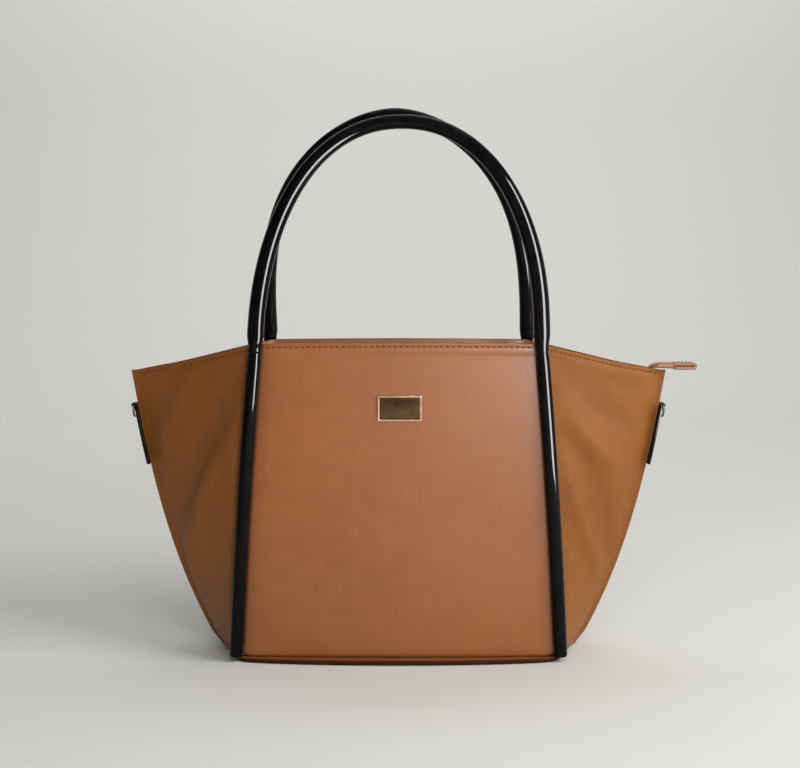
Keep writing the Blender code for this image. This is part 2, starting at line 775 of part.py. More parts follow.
def slider(group, cutters, metal):
    """The slider's two plates, side flanges, wedge post and bridge, about its own middle."""
    half = TOOTH_HEIGHT / 2 + SLIDER_CLEAR
    inner = SPINE_FACE + END_SHIFT + SPINE_DEPTH + SLIDER_CLEAR
    outer = inner + FLANGE_THICK
    length = SLIDER_LENGTH / 2
    nose = outer - SLIDER_NOSE
    tail = outer - SLIDER_NOSE
    outline = [
        (-length, -nose), (-length + SLIDER_NOSE, -outer), (length - SLIDER_TAIL, -outer),
        (length, -tail), (length, tail), (length - SLIDER_TAIL, outer),
        (-length + SLIDER_NOSE, outer), (-length, nose),
    ]
    body = add("zip_slider", outline_mesh("zip_slider", [outline], SLIDER_PLATE), metal, group)
    for vertex in body.data.vertices:
        vertex.co.z += half + SLIDER_PLATE / 2
    pieces = []
    lower = outline_mesh("slider_lower", [outline], SLIDER_PLATE)
    for vertex in lower.vertices:
        vertex.co.z -= half + SLIDER_PLATE / 2
    pieces.append(lower)
    lip = half - TAPE_THICK / 2 - SLIDER_CLEAR
    overlap = SLIDER_PLATE / 2
    for y in (-1, 1):
        for z in (-1, 1):
            ys = sorted((y * inner, y * outer))
            zs = sorted((z * (half - lip), z * (half + overlap)))
            run = length - SLIDER_TAIL - SLIDER_CLEAR
            low = (-run, ys[0], zs[0])
            high = (run, ys[1], zs[1])
            pieces.append(box_mesh("slider_flange", low, high))
    post = -length + SLIDER_PLATE / 2
    low = (post, -POST_THICK / 2, -half - overlap)
    high = (post + POST_LENGTH, POST_THICK / 2, half + overlap)
    pieces.append(box_mesh("slider_post", low, high))
    top = half + SLIDER_PLATE
    crown = top + BRIDGE_CLEAR + BRIDGE_WIRE
    sink = top - SLIDER_PLATE / 2
    run = BRIDGE_LENGTH / 2
    bend = crown - BRIDGE_BEND
    line = [
        (-run, 0, sink), (-run, 0, bend), (-run + BRIDGE_BEND, 0, crown),
        (run - BRIDGE_BEND, 0, crown), (run, 0, bend), (run, 0, sink),
    ]
    pieces.append(tube_mesh("slider_bridge", line, BRIDGE_WIRE, 2))
    place = (-SLIDER_REST, 0, ZIP_HEIGHT)
    for mesh in pieces:
        part = helper(mesh.name, mesh, cutters)
        part.location = place
        boolean(body, "UNION", part)
    body.location = place
    return top


def puller(group, metal, top):
    """A flat pull with an eye, whose end bar turns inside the slider's bridge."""
    bar = PULLER_BAR / 2
    half = PULLER_WIDTH / 2
    eye_half = PULLER_EYE_WIDTH / 2
    eye = bar + PULLER_EYE
    neck = PULLER_NECK / 2
    shoulder = eye + PULLER_SHOULDER
    outline = [(-bar, -neck), (eye, -neck), (shoulder, -half)]
    end = PULLER_LENGTH - half
    for angle in range(-90, 91, 30):
        turn = math.radians(angle)
        outline.append((end + half * math.cos(turn), half * math.sin(turn)))
    outline += [(shoulder, half), (eye, neck), (-bar, neck)]
    hole = [(bar, -eye_half), (eye, -eye_half), (eye, eye_half), (bar, eye_half)]
    obj = add("zip_puller", outline_mesh("zip_puller", [outline, hole], PULLER_THICK), metal, group)
    height = ZIP_HEIGHT + top + BRIDGE_CLEAR / 2
    bar_x = -SLIDER_REST + BRIDGE_LENGTH / 2 - BRIDGE_WIRE - PULLER_SET_BACK
    obj.location = (bar_x, 0, height)


# Side tabs, rings and nameplate


def side_at(z):
    """The side seam's half width at this height."""
    return side_x((z - SEAT) / (SIDE_RIM_HEIGHT - SEAT))


def loop_radius():
    return RING_WIRE + RING_PLAY + LOOP_LEATHER


def loop_centre():
    """X and Z of the loop: on the side seam, or further out where the ring needs it to hang clear."""
    on_seam = side_at(STRAP_TOP) + loop_radius()
    ring_clear = side_at(STRAP_TOP - RING_DROP) + STRAP_THICK + RING_PLAY + RING_WIRE
    return max(on_seam, ring_clear) + SEAM_GAP, STRAP_TOP


def side_straps(group, patent):
    outer = loop_radius()
    heights = np.linspace(STRAP_BOTTOM, STRAP_TOP - outer, 6)
    centre = loop_centre()
    inner_side = [(side_at(z) + SEAM_GAP, z) for z in heights]
    outer_side = [(side_at(z) + SEAM_GAP + STRAP_THICK, z) for z in heights]
    loop = []
    for angle in range(-75, 196, 30):
        turn = math.radians(angle)
        loop.append((centre[0] + outer * math.cos(turn), centre[1] + outer * math.sin(turn)))
    outline = outer_side + loop + list(reversed(inner_side))
    sides = 10
    radius = (RING_WIRE + RING_PLAY) / math.cos(math.pi / sides)
    hole = []
    for i in range(sides):
        turn = 2 * math.pi * i / sides
        hole.append((centre[0] + radius * math.cos(turn), centre[1] + radius * math.sin(turn)))
    for name, side in (("right_tab", 1), ("left_tab", -1)):
        mesh = outline_mesh(name, [outline, hole], STRAP_WIDTH)
        obj = add(name, mesh, patent, group)
        obj.rotation_euler = (math.pi / 2, 0, 0 if side > 0 else math.pi)


def rings(group, metal):
    """D-rings whose straight bar lies in the strap's loop and whose bow hangs below."""
    half = STRAP_WIDTH / 2 + RING_WIRE + RING_PLAY
    corner = RING_BEND
    arm = RING_DROP / 2
    line = [(0, -half + corner, 0), (0, half - corner, 0), (0, half, -corner)]
    for i in range(9):
        turn = math.pi * i / 8
        line.append((0, half * math.cos(turn), -arm - (RING_DROP - arm) * math.sin(turn)))
    line.append((0, -half, -corner))
    for name, side in (("right_d_ring", 1), ("left_d_ring", -1)):
        mesh = tube_mesh(name, line, RING_WIRE, 2, cyclic=True)
        obj = add(name, mesh, metal, group, smooth=True)
        x, z = loop_centre()
        obj.location = (x * side, 0, z)


def nameplate(group, cutters, metal):
    t = (PLATE_CENTRE - SEAT) / (RIM_HEIGHT - SEAT)
    tilt = math.atan2((RIM_DEPTH - BASE_DEPTH) / 2, RIM_HEIGHT - SEAT)
    out = PLATE_THICK / 2 + SEAM_GAP
    place = (0, -half_depth(t) - out, PLATE_CENTRE)
    w, h = PLATE_WIDTH / 2, PLATE_HEIGHT / 2
    corners = [(-w, -h), (w, -h), (w, h), (-w, h)]
    obj = add("nameplate", outline_mesh("nameplate", [corners], PLATE_THICK), metal, group)
    w, h = w - PLATE_RIM, h - PLATE_RIM
    low = (-w, -h, PLATE_THICK / 2 - PLATE_RECESS)
    high = (w, h, PLATE_THICK)
    recess = helper("nameplate_recess", box_mesh("nameplate_recess", low, high), cutters)
    for made in (obj, recess):
        made.location = place
        made.rotation_euler = (math.pi / 2 + tilt, 0, 0)
    boolean(obj, "DIFFERENCE", recess)


def main():
    clear_scene()
    group = collection("tote_bag")
    cutters = collection("cutters")
    leather = material("tan leather", TAN_COLOUR, 0.5)
    patent = material("black patent", PATENT_COLOUR, 0.12)
    fabric = material("lining fabric", LINING_COLOUR, 0.9)
    tape_cloth = material("zip tape", TAN_COLOUR, 0.85)
    board = material("base board", BOARD_COLOUR, 0.8)
    rope = material("handle rope", ROPE_COLOUR, 0.9)
    gold = material("gold metal", GOLD_COLOUR, 0.25, 1.0)
    steel = material("grey metal", STEEL_COLOUR, 0.3, 1.0)

    panels(group, leather)
    wings(group, leather)
    base(group, leather, board)
    facings(group, leather)
    lining(group, fabric)
    legs(group, patent, bag_volume(cutters))
    handles(group, cutters, patent, rope)
    flaps(group, cutters, leather, tape_cloth, gold)
    zip_ends(group, cutters, leather, tape_cloth, gold)
    stops(group, gold)
    tail_tab(group, leather)
    puller(group, gold, slider(group, cutters, gold))
    side_straps(group, patent)
    rings(group, steel)
    nameplate(group, cutters, gold)


main()
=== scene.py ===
import json
import math

import bmesh
import bpy
import numpy as np
from mathutils import Matrix, Vector, noise

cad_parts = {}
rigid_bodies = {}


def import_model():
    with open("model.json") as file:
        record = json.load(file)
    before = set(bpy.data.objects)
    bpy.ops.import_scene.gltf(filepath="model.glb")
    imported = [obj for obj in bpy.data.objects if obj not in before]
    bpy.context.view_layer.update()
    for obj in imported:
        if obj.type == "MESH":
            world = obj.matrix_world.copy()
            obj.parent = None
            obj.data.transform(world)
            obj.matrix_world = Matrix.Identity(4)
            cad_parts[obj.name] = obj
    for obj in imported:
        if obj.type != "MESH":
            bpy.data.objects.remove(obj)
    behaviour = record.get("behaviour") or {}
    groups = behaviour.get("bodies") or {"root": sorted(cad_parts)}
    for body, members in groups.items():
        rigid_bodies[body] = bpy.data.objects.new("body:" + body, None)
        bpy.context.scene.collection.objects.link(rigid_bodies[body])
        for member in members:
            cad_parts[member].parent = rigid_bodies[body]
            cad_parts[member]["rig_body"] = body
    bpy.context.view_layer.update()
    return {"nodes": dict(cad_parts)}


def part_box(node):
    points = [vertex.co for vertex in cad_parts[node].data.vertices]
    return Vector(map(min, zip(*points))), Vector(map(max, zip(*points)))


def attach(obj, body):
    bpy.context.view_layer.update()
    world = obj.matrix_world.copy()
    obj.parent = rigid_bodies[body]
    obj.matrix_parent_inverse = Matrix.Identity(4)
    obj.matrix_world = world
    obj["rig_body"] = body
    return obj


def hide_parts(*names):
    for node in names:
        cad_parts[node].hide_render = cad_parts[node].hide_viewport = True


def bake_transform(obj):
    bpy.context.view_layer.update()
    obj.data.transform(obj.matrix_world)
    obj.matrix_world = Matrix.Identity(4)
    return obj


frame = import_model()

# A structured tote bag, in metres: front towards -Y, +X to the right, +Z up

MM = 0.001
RIM_HEIGHT = 246 * MM
RIM_DEPTH = 112 * MM
BASE_DEPTH = 98 * MM
CORNER_RIM = 107.8 * MM
CORNER_BASE = 124.6 * MM
CORNER_BOW = 1.5 * MM
SIDE_RIM_HEIGHT = 221.5 * MM
SIDE_RIM = 213.5 * MM
SIDE_BASE = 146.6 * MM
SIDE_BOW = 10.1 * MM
SIDE_SKEW = 0.35
WING_CROWN = 3.0 * MM
SEAM_FLANGE = 4.0 * MM
SEAM_ROUND = 6.0 * MM
SEAM_END = 0.6 * SEAM_ROUND
TIP_LIFT = 1.7 * MM
WALL = 2.0 * MM
SEAM_GAP = 0.3 * MM
FLANGE_Y = WALL + SEAM_GAP / 2
SEAT = 4.3 * MM
TALL = RIM_HEIGHT - SEAT
INSIDE = 2.8 * MM
FACING_THICK = 1.4 * MM
FACING_HEIGHT = 34 * MM
CLEAR_INSIDE = INSIDE + FACING_THICK

LEG_RADIUS = 5.0 * MM
LEG_STAND_OFF = 2.0 * MM
LEG_TOP = 242.2 * MM
HANDLE_RADIUS = 6.25 * MM
HANDLE_APEX = 419 * MM
HANDLE_START = 239.6 * MM
HINGE_HEIGHT = RIM_HEIGHT + HANDLE_RADIUS + 0.3 * MM
HANDLE_SWAY = 2.7 * MM
BACK_HANDLE_EXTRA = 6.7 * MM
FRONT_ARCH_POWERS = (2.15, 2.15)
BACK_ARCH_POWERS = (1.8, 2.75)
TUBE_SIDES = 32
SKIN_GAP = 0.55 * MM

ZIP_HEIGHT = 226.5 * MM
FLAP_LEVEL = ZIP_HEIGHT + 1.35 * MM
FLAP_THICK = 1.4 * MM
FLAP_INNER = 9.0 * MM
FLAP_END = 99.0 * MM
FLAP_GAP = 0.5 * MM
TAPE_THICK = 0.6 * MM
TAPE_EDGE = 2.2 * MM
END_TAPE_EDGE = TAPE_EDGE + 1.5 * MM
END_START = 99.35 * MM
TAIL_START = 183 * MM

PANEL_STITCH = 2.8 * MM
WING_STITCH = 3.5 * MM
ZIP_STITCH = 2.2 * MM
LEG_COVER = 4.3 * MM
STITCH_PITCH = 4.4 * MM
STITCH_SINK = 0.12 * MM

rng = np.random.default_rng(7)


# Meshes


def with_settings(thing, **settings):
    for key, value in settings.items():
        setattr(thing, key, value)
    return thing


def placed(name, data):
    obj = bpy.data.objects.new(name, data)
    bpy.context.scene.collection.objects.link(obj)
    return obj


def mesh_object(name, mesh, material):
    obj = placed(name, mesh)
    mesh.materials.clear()
    mesh.materials.append(material)
    mesh.shade_smooth()
    return obj


def quads(rows, columns, close, first=0):
    """The faces between rows of points, each turned so that u x v points out."""
    faces = []
    for j in range(rows - 1):
        low, high = first + j * columns, first + (j + 1) * columns
        for i in range(columns if close else columns - 1):
            k = (i + 1) % columns
            faces.append((low + i, low + k, high + k, high + i))
    return faces


def from_grid(name, rows, close=False):
    """A mesh of quads from rows of points."""
    points = np.array(rows)
    mesh = bpy.data.meshes.new(name)
    mesh.from_pydata(points.reshape(-1, 3).tolist(), [], quads(*points.shape[:2], close))
    return mesh


def edited(mesh, *changes):
    """Makes each change in turn to the mesh, in its form for editing."""
    bm = bmesh.new()
    bm.from_mesh(mesh)
    for change in changes:
        bm.verts.ensure_lookup_table()
        change(bm)
    bm.to_mesh(mesh)
    bm.free()
    return mesh


def outward(bm):
    bmesh.ops.recalc_face_normals(bm, faces=bm.faces)


def capped(count, last=True):
    """A change that closes the first ring of a mesh, and its last one too: count is the points of a ring."""

    def change(bm):
        total = len(bm.verts)
        bm.faces.new([bm.verts[k] for k in reversed(range(count))])
        if last:
            bm.faces.new([bm.verts[k] for k in range(total - count, total)])

    return change


def shelled(obj, thickness, offset=-1.0, even=False):
    shell = obj.modifiers.new("shell", "SOLIDIFY")
    with_settings(shell, thickness=thickness, offset=offset, use_even_offset=even, use_quality_normals=even)


def rounded(obj, width, segments, angle):
    edge = with_settings(obj.modifiers.new("edge", "BEVEL"), width=width, segments=segments)
    with_settings(edge, limit_method="ANGLE", angle_limit=math.radians(angle))


def baked(obj):
    """Applies every modifier of the object to its mesh."""
    bpy.context.view_layer.update()
    graph = bpy.context.evaluated_depsgraph_get()
    mesh = bpy.data.meshes.new_from_object(obj.evaluated_get(graph), depsgraph=graph)
    obj.modifiers.clear()
    obj.data = mesh
    mesh.shade_smooth()
    return obj


def sharp_above(obj, angle):
    obj.data.set_sharp_from_angle(angle=math.radians(angle))


def painted(mesh, values):
    """Stores how much darker each point of a leather piece is."""
    layer = mesh.attributes.new("hem", "FLOAT", "POINT")
    layer.data.foreach_set("value", np.asarray(values, np.float32).ravel())


def sheet(name, rows, thickness, rounding, material, hem=None, offset=-1.0):
    """A sheet of leather or cloth: its outer face from rows of points, with its edges rounded."""
    mesh = from_grid(name, rows)
    if hem is not None:
        painted(mesh, hem)
    obj = mesh_object(name, mesh, material)
    shelled(obj, thickness, offset, even=True)
    rounded(obj, rounding, 3, 62)
    return baked(obj)


def ringed(name, loops, material, sharp=None, change=None, last=True):
    """A piece from rings of points with caps on its ends, and with edges above this angle left sharp."""
    changes = [capped(len(loops[0]), last)] + ([change] if change else []) + [outward]
    obj = mesh_object(name, edited(from_grid(name, loops, close=True), *changes), material)
    if sharp:
        sharp_above(obj, sharp)
    return obj


def tube(name, path, radii, material, sides, cyclic=False, section=None):
    """A tube along a path, with UVs in turns round it and in centimetres along it."""
    path = [Vector(p) for p in path]
    count = len(path)
    tangents = []
    for i in range(count):
        before = path[i - 1] if cyclic or i else path[0]
        after = path[(i + 1) % count] if cyclic or i < count - 1 else path[i]
        tangents.append((after - before).normalized())
    side = Vector((1, 0, 0)) if abs(tangents[0].y) > 0.9 else Vector((0, 1, 0))
    normal = (side - tangents[0] * side.dot(tangents[0])).normalized()
    rings, along, length = [], [], 0.0
    for i in range(count):
        t = tangents[i]
        normal = (normal - t * normal.dot(t)).normalized()
        across = t.cross(normal)
        ring = []
        for k in range(sides):
            turn = 2 * math.pi * k / sides
            point = path[i] + (normal * math.cos(turn) + across * math.sin(turn)) * radii[i]
            ring.append(section(point) if section else point)
        rings.append(ring)
        if i:
            length += (path[i] - path[i - 1]).length
        along.append(length)
    if cyclic:
        rings.append(rings[0])
        along.append(length + (path[0] - path[-1]).length)
    mesh = from_grid(name, rings, close=True)
    uvs = []
    for j in range(len(rings) - 1):
        for i in range(sides):
            for a, b in ((i, j), (i + 1, j), (i + 1, j + 1), (i, j + 1)):
                uvs += (a / sides, along[b] * 100)
    mesh.uv_layers.new(name="UVMap").data.foreach_set("uv", np.array(uvs, np.float32))
    weld = lambda bm: bmesh.ops.remove_doubles(bm, verts=bm.verts, dist=1e-7)
    edited(mesh, weld if cyclic else capped(sides), outward)
    return mesh_object(name, mesh, material)


def settle(obj, body, slot, *nodes):
    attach(obj, body)
    if nodes:
        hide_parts(*nodes)
    return obj


def softened(node, width, segments, material, body, slot):
    """A copy of a hard CAD piece with its edges rounded, which stands for it."""

    def plain(bm):
        bmesh.ops.remove_doubles(bm, verts=bm.verts, dist=2e-6)
        bmesh.ops.dissolve_limit(bm, angle_limit=math.radians(1.0), verts=bm.verts, edges=bm.edges)

    mesh = edited(frame["nodes"][node].data.copy(), plain)
    obj = mesh_object(node + "_piece", mesh, material)
    rounded(obj, width, segments, 35)
    baked(obj)
    sharp_above(obj, 40)
    settle(obj, body, slot, node)


def stitch_row(owner, body, places, facing, length=3.1 * MM, radius=0.62 * MM, pitch=STITCH_PITCH, suffix=""):
    """Thread stitches laid end to end along a line of surface points, as one mesh that its owner carries."""
    name = owner.name.replace("_leather", "_stitches") + suffix
    places = [Vector(p) for p in places]
    steps = [0.0]
    for a, b in zip(places, places[1:]):
        steps.append(steps[-1] + (b - a).length)
    count = max(1, int(steps[-1] / pitch))
    start = (steps[-1] - count * pitch) / 2 + pitch / 2
    verts, faces = [], []
    sides, rings = 8, 7
    for n in range(count):
        d = start + n * pitch
        i = min(int(np.searchsorted(steps, d, side="right")) - 1, len(places) - 2)
        centre = places[i].lerp(places[i + 1], (d - steps[i]) / (steps[i + 1] - steps[i]))
        along = (places[i + 1] - places[i]).normalized()
        up = (Vector(facing) - along * Vector(facing).dot(along)).normalized()
        lean = 0.10 + float(rng.uniform(-0.05, 0.05))
        along = (along + along.cross(up) * lean).normalized()
        across = along.cross(up)
        first = len(verts)
        reach = length / 2 * (1 + float(rng.uniform(-0.04, 0.04)))
        for u in np.linspace(-1, 1, rings).tolist():
            girth = radius * max(0.18, (1 - abs(u) ** 3.2)) ** 0.5
            drop = radius * 0.9 * abs(u) ** 3
            mid = centre + along * (reach * u) + up * (radius * 0.55 - STITCH_SINK - drop)
            for k in range(sides):
                turn = 2 * math.pi * k / sides
                verts.append(mid + across * (girth * math.cos(turn)) + up * (girth * 0.8 * math.sin(turn)))
        faces += quads(rings, sides, True, first)
        faces.append(tuple(first + k for k in reversed(range(sides))))
        faces.append(tuple(first + (rings - 1) * sides + k for k in range(sides)))
    mesh = bpy.data.meshes.new(name)
    mesh.from_pydata([tuple(v) for v in verts], [], faces)
    row = mesh_object(name, edited(mesh, outward), THREAD)
    settle(row, body, None)
    row.parent = owner
    row["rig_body"] = body


# Materials


class Finish:
    """A material with its Principled shader, and short calls for its nodes."""

    def __init__(self, name, roughness=0.5, metallic=0.0, **sockets):
        self.material = bpy.data.materials.new(name)
        self.material.use_nodes = True
        self.tree = self.material.node_tree
        self.shader = self.tree.nodes["Principled BSDF"]
        self.shader.inputs["Roughness"].default_value = roughness
        self.shader.inputs["Metallic"].default_value = metallic
        for key, value in sockets.items():
            self.shader.inputs[key.replace("_", " ")].default_value = value

    def node(self, kind, inputs=None, **settings):
        made = with_settings(self.tree.nodes.new("ShaderNode" + kind), **settings)
        for key, value in (inputs or {}).items():
            if isinstance(value, bpy.types.NodeSocket):
                self.tree.links.new(value, made.inputs[key])
            else:
                made.inputs[key].default_value = value
        return made

    def place(self, scale=(1, 1, 1), source="Object"):
        coords = self.node("TexCoord").outputs[source]
        return self.node("Mapping", {"Vector": coords, "Scale": scale}).outputs["Vector"]

    def clouds(self, scale, detail=3.0, rough=0.5, vector=None, distortion=0.0):
        inputs = {"Scale": scale, "Detail": detail, "Roughness": rough, "Distortion": distortion}
        inputs["Vector"] = vector or self.place()
        return self.node("TexNoise", inputs).outputs["Fac"]

    def cells(self, scale, vector):
        return self.node("TexVoronoi", {"Scale": scale, "Vector": vector}).outputs["Distance"]

    def bands(self, scale, direction, distortion=0.0):
        inputs = {"Scale": scale, "Distortion": distortion, "Vector": self.place()}
        return self.node("TexWave", inputs, bands_direction=direction).outputs["Fac"]

    def sum(self, operation, a, b):
        return self.node("Math", {0: a, 1: b}, operation=operation).outputs["Value"]

    def span(self, value, low, high, to_low=0.0, to_high=1.0):
        inputs = {"Value": value, "From Min": low, "From Max": high, "To Min": to_low, "To Max": to_high}
        return self.node("MapRange", inputs).outputs["Result"]

    def mix(self, factor, a, b):
        made = self.node("Mix", {0: factor}, data_type="RGBA")
        for socket, value in ((made.inputs[6], a), (made.inputs[7], b)):
            if isinstance(value, bpy.types.NodeSocket):
                self.tree.links.new(value, socket)
            else:
                socket.default_value = (*value, 1.0)
        return made.outputs[2]

    def colour(self, factor, a, b):
        self.tree.links.new(self.mix(factor, a, b), self.shader.inputs["Base Color"])

    def rough(self, socket):
        self.tree.links.new(socket, self.shader.inputs["Roughness"])

    def bump(self, *layers):
        """Each layer is a height, its strength and its depth in metres."""
        normal = None
        for height, strength, depth in layers:
            inputs = {"Height": height, "Strength": strength, "Distance": depth}
            if normal:
                inputs["Normal"] = normal
            normal = self.node("Bump", inputs).outputs["Normal"]
        self.tree.links.new(normal, self.shader.inputs["Normal"])


def leather(name, deep, tone, light, grain=1.0, roughness=0.46, edge=0.16, coat=0.9, gloss=0.34):
    """Fine grained leather: clouded colour, pores, pull lines, and a darker tone where the hem attribute
    says, which in places is painted shade.
    """
    made = Finish(name, Specular_IOR_Level=gloss, Coat_Weight=coat, Coat_Roughness=0.33)
    broad = made.span(made.clouds(11, 3, 0.55), 0.30, 0.70)
    mottle = made.span(made.clouds(85, 4, 0.6), 0.32, 0.68)
    pores = made.cells(1150, made.place(scale=(1, 1, 1.15)))
    fine = made.clouds(2600, 3, 0.65)
    wrinkle = made.clouds(240, 4, 0.55, made.place(scale=(1, 1, 0.55)), 0.6)
    colour = made.mix(broad, deep, tone)
    colour = made.mix(made.span(mottle, 0, 1, 0.0, 0.45), colour, light)
    colour = made.mix(made.span(pores, 0.05, 0.55, 0.0, 0.16), colour, deep)
    # The hem attribute darkens edges and stitch lines, and carries painted shade beside the corner tubes, in
    # wing fold valleys, at the panels' foot and under the base.
    hem = made.node("Attribute", attribute_name="hem").outputs["Fac"]
    made.colour(made.span(hem, 0, 1, 0.0, 0.85), colour, tuple(v * edge for v in deep))
    cloudy = made.span(mottle, 0, 1, roughness - 0.05, roughness + 0.07)
    made.rough(made.sum("ADD", cloudy, made.span(fine, 0, 1, -0.03, 0.03)))
    made.bump(
        (wrinkle, 0.16 * grain, 0.5 * MM),
        (pores, 0.30 * grain, 0.22 * MM),
        (fine, 0.22 * grain, 0.08 * MM),
    )
    return made.material


def patent(name, along_tube):
    """Black patent leather: a clear coat over a slightly uneven skin, wrinkled across on the tubes."""
    made = Finish(name, Specular_IOR_Level=0.0, Coat_Weight=1.0, Coat_Roughness=0.05, Coat_IOR=1.20)
    if along_tube:
        cross = made.clouds(1.0, 2, 0.5, made.place(scale=(1.5, 5.0, 1), source="UV"))
        lumps = made.clouds(1.0, 2, 0.5, made.place(scale=(3.0, 1.4, 1), source="UV"))
    else:
        cross = made.clouds(420, 2, 0.5)
        lumps = made.clouds(150, 2, 0.5)
    dust = made.clouds(1900, 2, 0.6)
    made.colour(made.span(lumps, 0.3, 0.7), (0.0004, 0.0004, 0.0005), (0.0010, 0.0010, 0.0011))
    made.rough(made.span(dust, 0.3, 0.7, 0.42, 0.56))
    made.bump((lumps, 0.12, 0.5 * MM), (cross, 0.80, 0.20 * MM))
    return made.material


def thread(name, dark, light):
    made = Finish(name, 0.75, Specular_IOR_Level=0.12)
    ply = made.bands(900, "DIAGONAL")
    made.colour(made.span(ply, 0, 1, 0.1, 0.9), dark, light)
    made.bump((ply, 0.5, 0.12 * MM))
    return made.material


def woven(name, dark, light, pitch):
    """A plain weave of two yarn directions: pitch is the scale of its bands of threads."""
    made = Finish(name, 0.85, Sheen_Weight=0.2, Sheen_Roughness=0.5, Specular_IOR_Level=0.25)
    warp, depth, weft = [made.bands(pitch, way, 0.4) for way in "XYZ"]
    weave = made.sum("MULTIPLY", made.sum("MAXIMUM", warp, depth), weft)
    slub = made.clouds(320, 3, 0.6)
    tone = made.sum("MULTIPLY", weave, made.span(slub, 0.3, 0.7, 0.6, 1.0))
    made.colour(tone, dark, light)
    made.bump((weave, 0.55, 0.25 * MM))
    return made.material


def metal(name, tone, deep, roughness):
    made = Finish(name, roughness, 1.0)
    stain = made.clouds(130, 4, 0.6)
    rub = made.clouds(1500, 3, 0.7, made.place(scale=(0.15, 1, 1)))
    made.colour(made.span(stain, 0.35, 0.75), tone, deep)
    made.rough(made.span(rub, 0.25, 0.75, roughness * 0.7, roughness * 1.5))
    made.bump((rub, 0.05, 0.05 * MM))
    return made.material


def board(name):
    made = Finish(name, 0.85)
    fibre = made.clouds(420, 5, 0.7, made.place(scale=(0.25, 1, 1)))
    made.colour(made.span(fibre, 0.3, 0.7), (0.13, 0.105, 0.085), (0.25, 0.21, 0.17))
    made.bump((fibre, 0.4, 0.2 * MM))
    return made.material


def rope(name):
    made = Finish(name, 0.9, Sheen_Weight=0.3)
    lay = made.bands(160, "DIAGONAL", 1.0)
    fuzz = made.clouds(1400, 3, 0.6)
    tone = made.sum("MULTIPLY", lay, made.span(fuzz, 0.2, 0.8, 0.5, 1))
    made.colour(tone, (0.36, 0.32, 0.26), (0.66, 0.61, 0.52))
    made.bump((lay, 0.8, 0.8 * MM))
    return made.material


TAN = leather("tan_leather_panel", (0.262, 0.070, 0.005), (0.312, 0.088, 0.007), (0.358, 0.110, 0.012))
TAN_WING = leather(
    "tan_leather_wing", (0.200, 0.064, 0.008), (0.244, 0.081, 0.011), (0.284, 0.101, 0.016),
    grain=0.75, roughness=0.52, coat=0.06, gloss=0.28,
)
TAN_TRIM = leather(
    "tan_leather_trim", (0.255, 0.084, 0.022), (0.315, 0.108, 0.030), (0.370, 0.138, 0.042),
    grain=0.7, roughness=0.44,
)
# Its edge factor of 0.03 makes the base's painted shade under its rounded edge nearly black.
TAN_BASE = leather(
    "tan_leather_base", (0.200, 0.064, 0.022), (0.245, 0.082, 0.029), (0.290, 0.105, 0.040),
    roughness=0.62, edge=0.03, coat=0.0, gloss=0.05,
)
PATENT = patent("black_patent_tube", True)
PATENT_STRAP = patent("black_patent_strap", False)
THREAD = thread("brown_thread", (0.150, 0.048, 0.014), (0.260, 0.085, 0.026))
LINING = woven("lining_weave", (0.17, 0.125, 0.085), (0.36, 0.285, 0.205), 1250)
ZIP_CLOTH = woven("zip_tape_weave", (0.13, 0.062, 0.028), (0.30, 0.155, 0.075), 1700)
GOLD = metal("gold_plate", (0.82, 0.56, 0.24), (0.70, 0.44, 0.17), 0.20)
# Its rosy tone is partly gold and partly painted reflection of the tan leather.
PLATE_RIM = metal("rose_gold_rim", (0.80, 0.55, 0.38), (0.66, 0.42, 0.27), 0.22)
BRONZE = metal("bronze_mirror", (0.170, 0.105, 0.052), (0.110, 0.064, 0.030), 0.16)
NICKEL = metal("dark_nickel", (0.16, 0.158, 0.155), (0.10, 0.098, 0.096), 0.22)
BOARD = board("base_board_fibre")
ROPE = rope("handle_rope_lay")


# The body's form: t runs from 0 at the base to 1 at the rim


CORNERS = (("front_right", 1, 1), ("front_left", -1, 1), ("back_right", 1, -1), ("back_left", -1, -1))


def mix(a, b, t):
    return a + (b - a) * t


def arc(t):
    return 4 * t * (1 - t)


def ease(t):
    t = max(0.0, min(1.0, t))
    return t * t * (3 - 2 * t)


def bell(gap, width):
    return math.exp(-((gap / width) ** 2))


def level_at(z):
    return (z - SEAT) / TALL


def corner_x(t):
    return mix(CORNER_BASE, CORNER_RIM, t) + CORNER_BOW * arc(t)


def half_depth(t):
    return mix(BASE_DEPTH, RIM_DEPTH, t) / 2


def side_x(t):
    return mix(SIDE_BASE, SIDE_RIM, t) + SIDE_BOW * arc(t) * (1 - SIDE_SKEW * (2 * t - 1))


def wing_run(t):
    return side_x(t) - SEAM_FLANGE - corner_x(t), half_depth(t) - FLANGE_Y


def wing_length(t):
    return math.hypot(*wing_run(t))


def wing_turn(t):
    x, y = wing_run(t)
    return math.atan2(y, x)


def corner_back(t, inset):
    return inset * math.tan(wing_turn(t) / 2)


def wing_point(t, s, inset=0.0):
    x, y = wing_run(t)
    turn = wing_turn(t)
    out = WING_CROWN * arc(max(0.0, min(1.0, s))) * arc(t) - inset
    return Vector(
        (
            corner_x(t) + x * s + math.sin(turn) * out,
            -half_depth(t) + y * s - math.cos(turn) * out,
            mix(mix(SEAT, RIM_HEIGHT, t), mix(SEAT, SIDE_RIM_HEIGHT, t), s),
        )
    )


def wing_reach(t, inset, stop):
    return (half_depth(t) - math.cos(wing_turn(t)) * inset - stop) / wing_run(t)[1]


